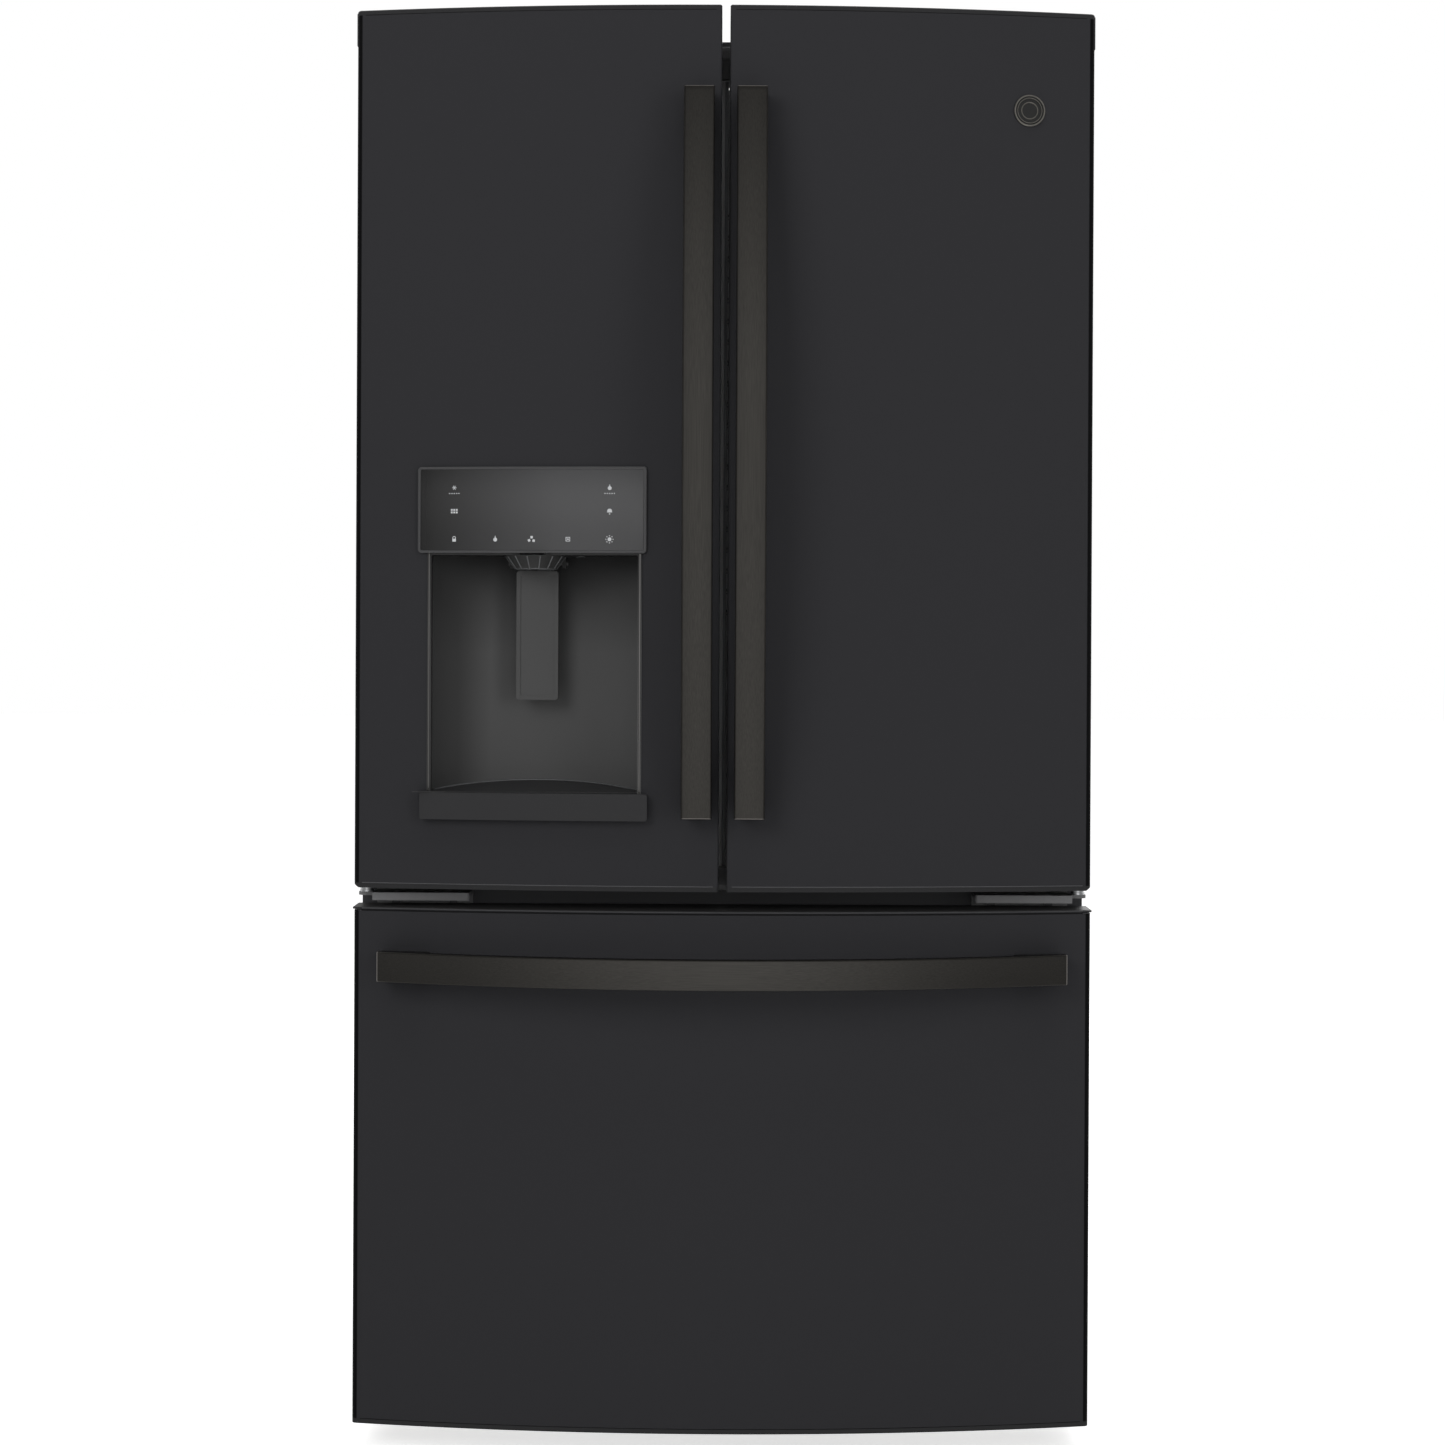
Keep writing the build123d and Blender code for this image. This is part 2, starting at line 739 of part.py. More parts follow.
def condenser():
    """Tube bank between two end plates, standing on the base."""
    x0 = condenser_x - condenser_length / 2
    x1 = condenser_x + condenser_length / 2
    y0 = room_y - condenser_half
    y1 = room_y + condenser_half
    z1 = base_top + condenser_height
    bank = block(x0, x0 + 2, y0, y1, base_top, z1) + block(x1 - 2, x1, y0, y1, base_top, z1)
    for column in (-condenser_row_pitch, 0, condenser_row_pitch):
        for row in range(4):
            z = base_top + condenser_tube_low + row * condenser_tube_pitch
            y = room_y + column
            bank += rod((x0 - 6, y, z), (x1 + 6, y, z), condenser_tube)
    for i in range(1, condenser_fins):
        x = x0 + i * condenser_length / condenser_fins
        bank += block(x - 0.4, x + 0.4, y0 + 4, y1 - 4, base_top + 8, z1 - 6)
    return bank


def fan_mount():
    """Ring plate with three arms that carry the fan motor and its shaft."""
    plate_x = fan_x - fan_plate / 2
    half = fan_plate_half
    top = base_top + fan_plate_height
    mount = block(plate_x, plate_x + fan_plate, room_y - half, room_y + half, base_top, top)
    ring = fan_radius + 6
    mount -= rod((plate_x - 1, room_y, fan_z), (plate_x + fan_plate + 1, room_y, fan_z), ring)
    motor_x = plate_x - fan_motor_gap - fan_motor_length
    motor_end = motor_x + fan_motor_length
    mount += rod((motor_x, room_y, fan_z), (motor_end, room_y, fan_z), fan_motor_radius)
    mount += rod((motor_end, room_y, fan_z), (fan_x + fan_hub, room_y, fan_z), axle)
    x0 = motor_x + fan_arm
    x1 = x0 + fan_arm
    root = fan_motor_radius - 5
    tip = ring + 6
    arm = fan_arm_half
    mount += block(x0, x1, room_y - arm, room_y + arm, fan_z + root, fan_z + tip + 4)
    mount += block(x0, plate_x + 1, room_y - arm, room_y + arm, fan_z + tip - 2, fan_z + tip + 4)
    for side in (-1, 1):
        y0, y1 = sorted((room_y + side * root, room_y + side * tip))
        mount += block(x0, x1, y0, y1, fan_z - arm, fan_z + arm)
        y0, y1 = sorted((room_y + side * (tip - fan_arm), room_y + side * tip))
        mount += block(x0, plate_x + 1, y0, y1, fan_z - arm, fan_z + arm)
    return mount


def condenser_fan():
    """Hub with five pitched blades."""
    wheel = rod((fan_x - 6, room_y, fan_z), (fan_x + fan_hub - 4, room_y, fan_z), fan_hub)
    reach = fan_radius - 10
    blade = Rot(0, 0, fan_pitch) * (Pos(0, 0, reach / 2 + 10) * Box(2.0, fan_blade, reach))
    for i in range(5):
        wheel += Pos(fan_x + 2, room_y, fan_z) * (Rot(72 * i, 0, 0) * blade)
    return wheel - rod((fan_x - 8, room_y, fan_z), (fan_x + fan_hub, room_y, fan_z), axle + running)


def machine_cover():
    """Rear cover with vent slots, a hole for the water inlet and one for the gland."""
    x = case_half - sheet - 1
    cover = block(-x, x, back_y - cover_sheet, back_y, base_top - 10, machine_top - 1)
    behind = (back_y - cover_sheet - 1, back_y + 1)
    slots = []
    for row in range(vent_rows):
        z = base_top + vent_low + row * vent_row_pitch
        for column in range(vent_columns):
            slot_x = compressor_x + (column - 1.5) * vent_pitch
            z0 = z - vent_half_height
            slots.append(block(slot_x - vent_half, slot_x + vent_half, *behind, z0, z + vent_half_height))
    cover -= slots
    cover -= rod((valve_x, behind[0], valve_z), (valve_x, behind[1], valve_z), 3 * stub_radius)
    return cover - rod((inlet_x, behind[0], inlet_z), (inlet_x, behind[1], inlet_z), inlet_radius)


def water_valve():
    """Solenoid valve on a bracket, with a threaded inlet pointing to the back."""
    y1 = back_y - stub_length
    y0 = y1 - valve_body - 6
    half = valve_body
    body = block(valve_x - half, valve_x + half, y0, y1, valve_z - half + 2, valve_z + half - 2)
    axis_y = (y0 + y1) / 2
    top = valve_z + half - 2
    body += rod((valve_x, axis_y, top), (valve_x, axis_y, top + coil_height), coil_radius)
    body += rod((valve_x, y1, valve_z), (valve_x, back_y, valve_z), stub_radius)
    body -= rod((valve_x, y1 + 2, valve_z), (valve_x, back_y + 1, valve_z), stub_bore)
    wall = case_half - sheet - machine_side
    return body + block(valve_x + half, wall, y1 - half, y1 - half + 3, valve_z - 10, valve_z + 10)


def cord_gland():
    """Bushing where the mains cord passes the cover."""
    front = back_y - cover_sheet - inlet_flange
    flange = rod((inlet_x, front, inlet_z), (inlet_x, back_y - cover_sheet, inlet_z), inlet_radius + 4)
    sleeve = rod((inlet_x, front, inlet_z), (inlet_x, back_y, inlet_z), inlet_radius)
    return flange + sleeve - rod((inlet_x, front - 1, inlet_z), (inlet_x, back_y + 1, inlet_z), inlet_bore)


parts["compressor"] = compressor()
parts["condenser"] = condenser()
parts["fan_mount"] = fan_mount()
parts["condenser_fan"] = condenser_fan()
parts["machine_cover"] = machine_cover()
parts["water_valve"] = water_valve()
parts["cord_gland"] = cord_gland()


# ---------------------------------------------------------------------- hinges
arm_low = case_top
arm_top = case_top + plate
collar_top = door_bottom - fit


def top_hinge():
    """Left plate on the cabinet with an arm that carries the upper pin."""
    front = liner_front + plate
    x0 = -case_half + hinge_plate_inset
    base = block(x0, x0 + hinge_plate_width, front, liner_front + hinge_back, arm_low, arm_top)
    base = fillet(base.edges().filter_by(Axis.Z), plate_round)
    arm = block(-pin_x - arm_half, -pin_x + arm_half, pin_y, front + 26, arm_low, arm_top)
    arm = arm + rod((-pin_x, pin_y, arm_low), (-pin_x, pin_y, arm_top), arm_half)
    return base + arm + rod((-pin_x, pin_y, arm_low - pin_depth), (-pin_x, pin_y, arm_top), pin_radius)


def middle_hinge():
    """Left bracket between the doors: plate, front flange and the flange on the cabinet."""
    front = door_end + bracket_setback
    low = bracket_top - bracket_flange
    under = bracket_top - plate
    bracket = block(-bracket_end, -bracket_start, front, case_front, under, bracket_top)
    bracket += block(-pin_x, -bracket_end, pin_y - bracket_eye, pin_y + bracket_eye, under, bracket_top)
    bracket += rod((-pin_x, pin_y, under), (-pin_x, pin_y, bracket_top), bracket_eye)
    bracket += block(-bracket_end, -bracket_start, front, front + plate, low, bracket_top)
    heel_top = door_bottom - 5 * fit
    heel_low = low - heel_drop
    bracket += block(-bracket_end, -bracket_start, case_front - plate, case_front, heel_low, heel_top)
    inner = bracket.edges().filter_by(Axis.Z).group_by(Axis.X)[-1].sort_by(Axis.Y)[0]
    bracket = fillet(inner, plate - 0.2)
    for i in range(3):
        x = -bracket_end + bracket_hole_inset + i * bracket_hole_pitch
        y = pin_y + plate
        bracket -= rod((x, y, under - 1), (x, y, bracket_top + 1), bracket_hole)
    return bracket - rod((-pin_x, pin_y, under - 1), (-pin_x, pin_y, bracket_top + 1), pin_radius)


def middle_pin():
    """Left lower door pin with its two thrust washers."""
    x = -pin_x
    stack = collar_top - bracket_top
    pin = rod((x, pin_y, bracket_top - plate), (x, pin_y, door_bottom + pin_depth), pin_radius)
    pin += rod((x, pin_y, bracket_top), (x, pin_y, bracket_top + stack * 0.4), collar_radius)
    pin += rod((x, pin_y, bracket_top), (x, pin_y, collar_top), collar_radius - 2)
    return pin + rod((x, pin_y, bracket_top + stack * 0.55), (x, pin_y, collar_top), collar_radius)


def hinge_cover():
    """Left moulded cover over the top hinge plate."""
    front = liner_front + sheet
    rear = liner_front + hinge_back + cover_margin
    x0 = -case_half
    x1 = x0 + hinge_plate_inset + hinge_plate_width + cover_margin
    cover = block(x0, x1, front, rear, arm_low, door_top)
    cover = fillet(cover.edges().filter_by(Axis.Z), plate_round - 1)
    cover = fillet(cover.faces().sort_by(Axis.Z)[-1].edges(), 3)
    wall = cover_wall
    cover -= block(x0 + wall, x1 - wall, front - wall, rear - wall, arm_low - 1, door_top - wall)
    half = arm_half + fit
    return cover - block(-pin_x - half, -pin_x + half, front - 1, front + 30, arm_low - 1, arm_top + fit)


def case_screws():
    """Hexagon screws of the left hinges: three on the top plate, two on the bracket."""
    screws = []
    x0 = -case_half + hinge_plate_inset
    x1 = x0 + hinge_plate_width
    y0 = liner_front + screw_inset_y
    y1 = liner_front + hinge_back - screw_inset_x
    for x, y in ((x0 + screw_inset_x, y0), (x1 - screw_inset_x, y0), ((x0 + x1) / 2, y1)):
        screws.append(rod((x, y, arm_top), (x, y, arm_top + screw_head), screw_radius))
    z = bracket_top - bracket_flange - heel_drop / 2
    for x in (-bracket_end + small_screw_inset, -bracket_start - small_screw_inset):
        start = (x, case_front - plate, z)
        screws.append(rod(start, (x, case_front - 2 * plate, z), small_screw_radius))
    return screws


left_hinges = [top_hinge(), middle_hinge()]
left_hardware = [middle_pin(), *case_screws()]
parts["door_hinges"] = group(*left_hinges, *[other_side(piece) for piece in left_hinges])
parts["hinge_hardware"] = group(*left_hardware, *[other_side(piece) for piece in left_hardware])
parts["hinge_covers"] = group(hinge_cover(), other_side(hinge_cover()))


# ----------------------------------------------------------------- upper doors
door_rounds = (outer_round, inner_round)
skin_rounds = (outer_round - skin, inner_round - skin)
skin_low = door_bottom + cap_height
skin_high = door_top - cap_height


def pin_holes():
    """What the hinges take out of the left door: two pin holes and the arm's slot."""
    bore = pin_radius + running
    lower = rod((-pin_x, pin_y, door_bottom - 1), (-pin_x, pin_y, door_bottom + pin_depth + 2), bore)
    upper = rod((-pin_x, pin_y, arm_low - pin_depth - 2), (-pin_x, pin_y, arm_low), bore)
    slot = block(
        -door_half - cap_proud - 1,
        -pin_x + arm_half + 0.5,
        pin_y - 2 * arm_half + 1.5,
        door_back + 1,
        arm_low - slot_play,
        arm_top + slot_play,
    )
    return lower + upper + slot


def door_skin():
    """Left door's sheet: bowed front and both folded sides."""
    outer = slab(-door_half, -gap_half, skin_low, skin_high, 0, door_back, door_rounds)
    inner = slab(
        -door_half + skin, -gap_half - skin, skin_low - 1, skin_high + 1, -skin, door_back + 1, skin_rounds
    )
    return outer - inner


def door_core():
    """Left door's foamed core and moulded inside with the dikes that hold the bins."""
    core = slab(-door_half + skin, -gap_half - skin, skin_low, skin_high, -skin, door_back, skin_rounds)
    core += block(-dike_outer, -bay_outer, door_back, dike_back, dike_low, dike_high)
    core += block(-bay_inner, -dike_in, door_back, dike_back, dike_low, dike_high)
    core += block(-bay_outer, -bay_inner, door_back, dike_back, dike_high - dike_rib, dike_high)
    low_back = dike_back - bin_scoop
    return core + block(-bay_outer, -bay_inner, door_back, low_back, dike_low, dike_low + dike_rib)


def door_caps():
    """Left door's end caps; the top one has a lug over the hinge side."""
    bottom = slab(-door_half, -gap_half, door_bottom, skin_low, 0, door_back, door_rounds)
    corner = Polyline(
        (-door_half - 1, door_bottom - 1),
        (-door_half + cap_bevel, door_bottom - 1),
        (-door_half - 1, door_bottom + cap_bevel * 0.7),
        close=True,
    )
    bottom -= extrude(Plane.XZ.offset(-back_y) * make_face(corner), 2 * back_y)
    top = slab(-door_half, -gap_half, skin_high, door_top, 0, door_back, door_rounds)
    top = chamfer(top.faces().sort_by(Axis.Z)[-1].edges(), cap_edge)
    lug_x = -door_half - cap_proud
    lug = block(lug_x, -door_half, door_end + cap_inset, door_back, door_top - cap_skirt, door_top - 2)
    lug = chamfer(lug.faces().sort_by(Axis.X)[0].edges(), cap_proud - 0.1)
    return bottom, top + lug


def gasket_ring(x0, x1, z0, z1):
    """A gasket between a door's back and the front of the cabinet."""
    y1 = case_front - fit
    wide = gasket_width
    ring = block(x0, x1, door_back, y1, z0, z1)
    ring -= block(x0 + wide, x1 - wide, door_back - 1, y1 + 1, z0 + wide, z1 - wide)
    return chamfer(ring.faces().sort_by(Axis.Y)[-1].edges(), gasket_edge)


def door_gasket():
    """Left door's gasket ring."""
    x0 = -case_half + gasket_inset
    x1 = -gap_half - gasket_to_gap
    z0 = door_bottom + gasket_low
    z1 = fridge_ceiling + gasket_rise
    return gasket_ring(x0, x1, z0, z1)


def bin_supports(levels, back):
    """Lugs on the dikes below each bin of the left door."""
    lugs = []
    for z in levels:
        for x0, x1 in ((-bay_outer, -bay_outer + bin_lug), (-bay_inner - bin_lug, -bay_inner)):
            lugs.append(block(x0, x1, back, dike_back - 4, z - bin_lug, z))
    return lugs


def door_bin(z, back):
    """Moulded bin between the dikes, with a raised front rail."""
    x0 = -bay_outer + fit
    x1 = -bay_inner - fit
    y1 = door_back + bin_depth
    tray = tub(x0, x1, back, y1, z, z + bin_height, bin_wall)
    top = z + bin_height
    tray -= block(x0 - 1, x1 + 1, back - 1, back + bin_scoop, top - bin_scoop, top + 1)
    return tray + block(x0, x1, y1 - 2 * bin_wall - 1, y1, top - bin_lip, top)


def bin_levels(ceiling):
    """Heights of the door bins that fit below a ceiling."""
    first = fridge_floor + bin_start
    count = int((ceiling - bin_height - first) // bin_pitch) + 1
    return [first + i * bin_pitch for i in range(count)]


levels = bin_levels(dike_high - dike_rib)
left_levels = bin_levels(bulge_top)
cut = pin_holes()


# ------------------------------------------------------------------- dispenser
disp_left = disp_x - recess_half
disp_right = disp_x + recess_half
deep_y = door_back + recess_back
curve_y = deep_y - recess_curve
paddle_y = deep_y - paddle_axis_gap
paddle_z = recess_top - paddle_axis_drop
chute_y = front_at(disp_x) + chute_back
panel_back = front_at(disp_x) + panel_depth


def recess_plan(grow, front):
    """Plan of the recess: straight sides and a curved back wall."""
    x0 = disp_left - grow
    x1 = disp_right + grow
    back = ThreePointArc((x1, curve_y), (disp_x, deep_y + grow), (x0, curve_y))
    return make_face([back, Polyline((x0, curve_y), (x0, front), (x1, front), (x1, curve_y))])


def recess(grow, z0, z1, front):
    return Pos(0, 0, z0) * extrude(recess_plan(grow, front), z1 - z0)


far_front = door_mid - bow


def recess_cut():
    """The room that the dispenser takes out of the door."""
    low = recess_floor - recess_wall
    high = recess_top + recess_wall
    room = recess(recess_wall, low, high, far_front)
    strips = block(disp_left - trim, disp_right + trim, far_front, front_at(disp_left) + trim, low, high)
    return room + strips + panel_room(0)


def panel_room(shrink):
    """Rounded block behind the control panel's outline."""
    return in_front_plane(
        disp_x - panel_half - panel_shift + shrink,
        disp_x + panel_half - panel_shift - shrink,
        recess_top + shrink,
        panel_top - shrink,
        far_front,
        panel_back,
        panel_round,
    )


def dispenser_housing():
    """Moulded recess with bright side strips, top plate, floor and paddle bearings."""
    low = recess_floor - recess_wall
    high = recess_top
    front = front_at(disp_left) + trim
    shell = recess(recess_wall, low, high, front) - recess(0, recess_floor, high - recess_wall, front - 1)
    strips = block(disp_left - trim, disp_right + trim, far_front, front, low, high)
    strips -= block(disp_left, disp_right, far_front - 1, front + 1, recess_floor, high - recess_wall)
    strips = strips & slab(-door_half, -gap_half, low - 1, high + 1, trim_proud, door_back)
    shell += strips
    mouth = chute_top - 2 * chute_wall
    shell -= rod((disp_x, chute_y, high - recess_wall - 1), (disp_x, chute_y, high + 1), mouth)
    for side in (-1, 1):
        x0, x1 = sorted((disp_x + side * paddle_ear, disp_x + side * (paddle_ear + 5)))
        ear_y = axle + 2
        shell += block(
            x0, x1, paddle_y - ear_y, paddle_y + ear_y, paddle_z - 2 * axle, high - recess_wall
        )
        shell -= rod((x0 - 1, paddle_y, paddle_z), (x1 + 1, paddle_y, paddle_z), axle + running)
    return shell


def control_panel():
    """Glossy panel that follows the door's bow."""
    plate_shape = panel_room(0.2)
    front = slab(-door_half, -gap_half, recess_top - 20, panel_top + 20, panel_proud, door_back)
    panel = plate_shape & front
    return chamfer(panel.faces().sort_by(Axis.Y)[0].edges(), panel_edge)


def ice_chute():
    """Funnel below the panel with the water spout in its middle."""
    top = recess_top - recess_wall
    up = (Align.CENTER, Align.CENTER, Align.MIN)
    place = Pos(disp_x, chute_y, top - chute_drop)
    cup = place * Cone(chute_low, chute_top, chute_drop, align=up)
    cup -= place * Cone(chute_low - chute_wall, chute_top - chute_wall, chute_drop, align=up)
    y = chute_y - spout_before
    low = top - chute_drop - spout_drop
    cup += rod((disp_x, y, low), (disp_x, y, top), spout_radius)
    rib_low = top - chute_drop + spout_drop
    cup += block(disp_x - 2, disp_x + 2, chute_y - chute_low + 1, y, rib_low, top)
    return cup - rod((disp_x, y, low - 1), (disp_x, y, top + 1), spout_bore)


def dispenser_paddle():
    """Lever behind the funnel: a glass or a hand pushes its lower end back."""
    front = deep_y - paddle_gap
    back = front + paddle_thick
    half = paddle_width / 2
    blade = in_front_plane(disp_x - half, disp_x + half, paddle_low, paddle_high, front, back, 4)
    rim = paddle_rim
    x0 = disp_x - half + rim
    x1 = disp_x + half - rim
    dish_back = front + paddle_dish
    blade -= in_front_plane(x0, x1, paddle_low + rim, paddle_high - rim, front - 1, dish_back, 3)
    x0 = disp_x - paddle_neck
    x1 = disp_x + paddle_neck
    low = paddle_high - paddle_thick
    blade += block(x0, x1, front, paddle_y + axle, low, paddle_high)
    blade += block(x0, x1, paddle_y - axle, paddle_y + axle, low, paddle_z)
    reach = paddle_ear + 7
    return blade + rod((disp_x - reach, paddle_y, paddle_z), (disp_x + reach, paddle_y, paddle_z), axle)


def drip_tray():
    """Sliding tray: slotted dish in the recess and the sill in front of the door."""
    low = recess_floor + fit
    high = low + tray_thick
    dish = recess(-1, low, high, door_mid - sill_proud)
    half = tray_slot / 2
    step = 2 * (recess_half - tray_inset) / (tray_slots - 1)
    y0 = front_at(disp_x) + tray_inset
    y1 = curve_y + recess_curve / 2
    for i in range(tray_slots):
        x = disp_left + tray_inset + i * step
        dish -= block(x - half, x + half, y0, y1, low - 1, high + 1)
    x0 = disp_x - sill_half
    x1 = disp_x + sill_half
    sill = in_front_plane(x0, x1, sill_low, high, far_front, door_back, sill_round)
    outer = slab(-door_half, -gap_half, sill_low - 5, high + 5, sill_proud, door_back)
    inner = slab(-door_half, -gap_half, sill_low - 5, high + 5, fit, door_back)
    x0 = disp_left - trim - 1
    x1 = disp_right + trim + 1
    strips = block(x0, x1, far_front, door_back, recess_floor - 3, high + 5)
    strips = strips & slab(-door_half, -gap_half, sill_low, high + 5, trim_proud + fit, door_back)
    apron = (sill & outer) - inner - strips
    return apron + (dish & outer)


mullion_y = mullion_front + mullion_depth / 2


def mullion_lug(z0, z1, pin_start, pin_end):
    """Lug on the inner dike with the pin that carries one end of the mullion."""
    x = -mullion_axis
    lug = block(-dike_in - bin_lug / 2, x, door_back, mullion_y, z0, z1)
    lug += rod((x, mullion_y, z0), (x, mullion_y, z1), mullion_knuckle - fit)
    return lug + rod((x, mullion_y, pin_start), (x, mullion_y, pin_end), mullion_pin)


low_lug = fridge_floor + mullion_low + knuckle_from_end
low_lug_top = low_lug + lug_length
high_lug_top = fridge_ceiling - mullion_high - knuckle_from_end
high_lug = high_lug_top - lug_length
core = door_core()
core += block(-bay_outer, -bay_inner, door_back, bulge_back, dike_low, bulge_top)
core += bin_supports(left_levels, bulge_back)
core += mullion_lug(low_lug, low_lug_top, low_lug_top, low_lug_top + mullion_pin_length)
core += mullion_lug(high_lug, high_lug_top, high_lug - mullion_pin_length, high_lug)
right_core = door_core() + bin_supports(levels, door_back)
opening = recess_cut()
skin_left = door_skin() - cut
cap_low, cap_high = door_caps()
caps_left = group(cap_low - cut, cap_high - cut)

parts["left_door_skin"] = skin_left - opening
parts["left_door_core"] = core - cut - opening
parts["left_door_caps"] = caps_left
parts["left_door_gasket"] = door_gasket()
parts["left_door_bins"] = group(*[door_bin(z, bulge_back + fit) for z in left_levels])
parts["right_door_skin"] = other_side(skin_left)
parts["right_door_core"] = other_side(right_core - cut)
parts["right_door_caps"] = other_side(caps_left)
parts["right_door_gasket"] = other_side(door_gasket())
parts["right_door_bins"] = group(*[other_side(door_bin(z, door_back + fit)) for z in levels])

parts["dispenser_housing"] = group(dispenser_housing(), ice_chute())
parts["control_panel"] = control_panel()
parts["dispenser_paddle"] = dispenser_paddle()
parts["drip_tray"] = drip_tray()


# --------------------------------------------------------------------- mullion
def mullion():
    """Flipping bar behind the gap between the doors, with two hinge knuckles."""
    x = -mullion_axis
    z0 = fridge_floor + mullion_low
    z1 = fridge_ceiling - mullion_high
    post = block(mullion_left, mullion_right, mullion_front, mullion_front + mullion_depth, z0, z1)
    post = fillet(post.edges().filter_by(Axis.Z), mullion_round)
    for start in (low_lug_top + fit, high_lug - fit - knuckle_length):
        end = start + knuckle_length
        post += rod((x, mullion_y, start), (x, mullion_y, end), knuckle_radius)
        post += block(x, mullion_left + mullion_knuckle, mullion_y - 4, mullion_y + 4, start, end)
        post -= rod((x, mullion_y, start - 1), (x, mullion_y, end + 1), mullion_pin + running)
    return post


parts["mullion"] = mullion()


# --------------------------------------------------------------------- handles
def bowed_bar(half_length, rise, thickness):
    """Side outline of a handle bar along X, its front at Y zero in the middle."""
    outer = ThreePointArc((-half_length, rise), (0, 0), (half_length, rise))
    inner = ThreePointArc((half_length, rise + thickness), (0, thickness), (-half_length, rise + thickness))
    right = Line((half_length, rise), (half_length, rise + thickness))
    left = Line((-half_length, rise + thickness), (-half_length, rise))
    return make_face([outer, right, inner, left])


def upright_handle():
    """Left handle: bowed flat bar with a foot at each end."""
    half_length = (handle_high - handle_low) / 2
    middle_z = (handle_high + handle_low) / 2
    front = door_mid - handle_reach
    rise = handle_reach - handle_end_reach
    profile = bowed_bar(half_length, rise, bar)
    side = -handle_x + handle_width / 2
    place = Plane(origin=(side, front, middle_z), x_dir=(0, 0, 1), z_dir=(-1, 0, 0))
    grip = extrude(place * profile, handle_width)
    x0 = side - handle_width + foot_inset
    x1 = side - foot_inset
    y0 = front + rise + bar / 2
    grip += block(x0, x1, y0, door_back, handle_low + foot_end, handle_low + foot_length)
    grip += block(x0, x1, y0, door_back, handle_high - foot_length, handle_high - foot_end)
    return grip - slab(-door_half, -gap_half, handle_low - 10, handle_high + 10, 0, door_back + 20)


def drawer_handle():
    """Freezer handle: the same bar laid across the front."""
    end_front = front_at(drawer_handle_half) - handle_end_reach
    front = door_mid - handle_reach
    rise = end_front - front
    profile = bowed_bar(drawer_handle_half, rise, bar)
    z0 = drawer_handle_z - handle_width / 2
    z1 = z0 + handle_width
    grip = Pos(0, front, z0) * extrude(profile, handle_width)
    y0 = end_front + bar / 2
    for side in (-1, 1):
        tip = side * (drawer_handle_half - foot_end)
        x0, x1 = sorted((tip, side * (drawer_handle_half - drawer_foot)))
        grip += block(x0, x1, y0, door_back, z0 + foot_inset, z1 - foot_inset)
    return grip - slab(-door_half, door_half, z0 - 10, z1 + 10, 0, door_back + 20)


parts["left_handle"] = upright_handle()
parts["right_handle"] = other_side(upright_handle())
parts["drawer_handle"] = drawer_handle()


# ---------------------------------------------------------------- round emblem
badge_x = door_half - badge_inset
badge_z = door_top - badge_drop


def badge():
    """Plain round emblem plate, square to the bowed front where it sits."""
    turn = degrees(asin(badge_x / bow_radius))
    place = Pos(badge_x, front_at(badge_x), badge_z) * Rot(0, 0, turn) * Rot(90, 0, 0)
    disc = place * Cylinder(badge_radius, 2 * badge_thick)
    dish = place * Pos(0, 0, badge_thick) * Cylinder(badge_radius - badge_rim, 2 * badge_dish)
    room = slab(gap_half, door_half, badge_z - badge_inset, badge_z + badge_inset, 0, door_back)
    return disc - dish - room


parts["badge"] = badge()


# --------------------------------------------------------------------- ice box
ice_x0 = -bay_outer + ice_side
ice_x1 = -bay_inner - ice_side
ice_back = door_back + ice_depth
lid_x = ice_x0 + lid_axis
lid_y = ice_back + lid + 1
maker_low = ice_high - ice_wall - maker_height


def ice_box():
    """Insulated housing of the ice maker, open to the compartment."""
    wall = ice_wall
    front = door_back + wall
    box = block(ice_x0, ice_x1, door_back, ice_back, ice_low, ice_high)
    box -= block(ice_x0 + wall, ice_x1 - wall, front, ice_back + 1, ice_low + wall, ice_high - wall)
    x0 = ice_x0 + maker_inset
    box += block(x0, ice_x1 - maker_inset, front, ice_back - maker_back, maker_low, ice_high - wall)
    for z0, z1 in ((ice_low, ice_low + wall), (ice_high - wall, ice_high)):
        box += block(ice_x0, ice_x0 + 2 * lid_axis, ice_back, ice_back + 2 * lid_axis, z0, z1)
    box += rod((lid_x, lid_y, ice_low), (lid_x, lid_y, ice_low + lid_pin_length), lid_pin)
    return box + rod((lid_x, lid_y, ice_high - lid_pin_length), (lid_x, lid_y, ice_high), lid_pin)


def ice_box_lid():
    """Lid on the back of the ice box, hinged on its outer edge."""
    z0 = ice_low + ice_wall + fit
    z1 = ice_high - ice_wall - fit
    front = ice_back + fit
    leaf = block(lid_x, ice_x1, front, front + lid, z0, z1)
    latch_z = (z0 + z1 - latch_length) / 2
    latch_x = ice_x1 - 22
    leaf += block(latch_x, latch_x + 12, front + lid, front + lid + 6, latch_z, latch_z + latch_length)
    leaf += rod((lid_x, lid_y, z0), (lid_x, lid_y, z1), lid_knuckle)
    leaf -= block(ice_x0 - 1, lid_x, ice_back - 1, front, z0 - 1, z1 + 1)
    return leaf - rod((lid_x, lid_y, z0 - 1), (lid_x, lid_y, z1 + 1), lid_pin + running)


def ice_bucket():
    """Bucket below the ice maker."""
    x0 = ice_x0 + ice_wall + bucket_play
    x1 = ice_x1 - ice_wall - bucket_play
    y0 = door_back + bucket_front
    return tub(x0, x1, y0, ice_back - bucket_back, ice_low + ice_wall, maker_low - bucket_gap, bin_wall)


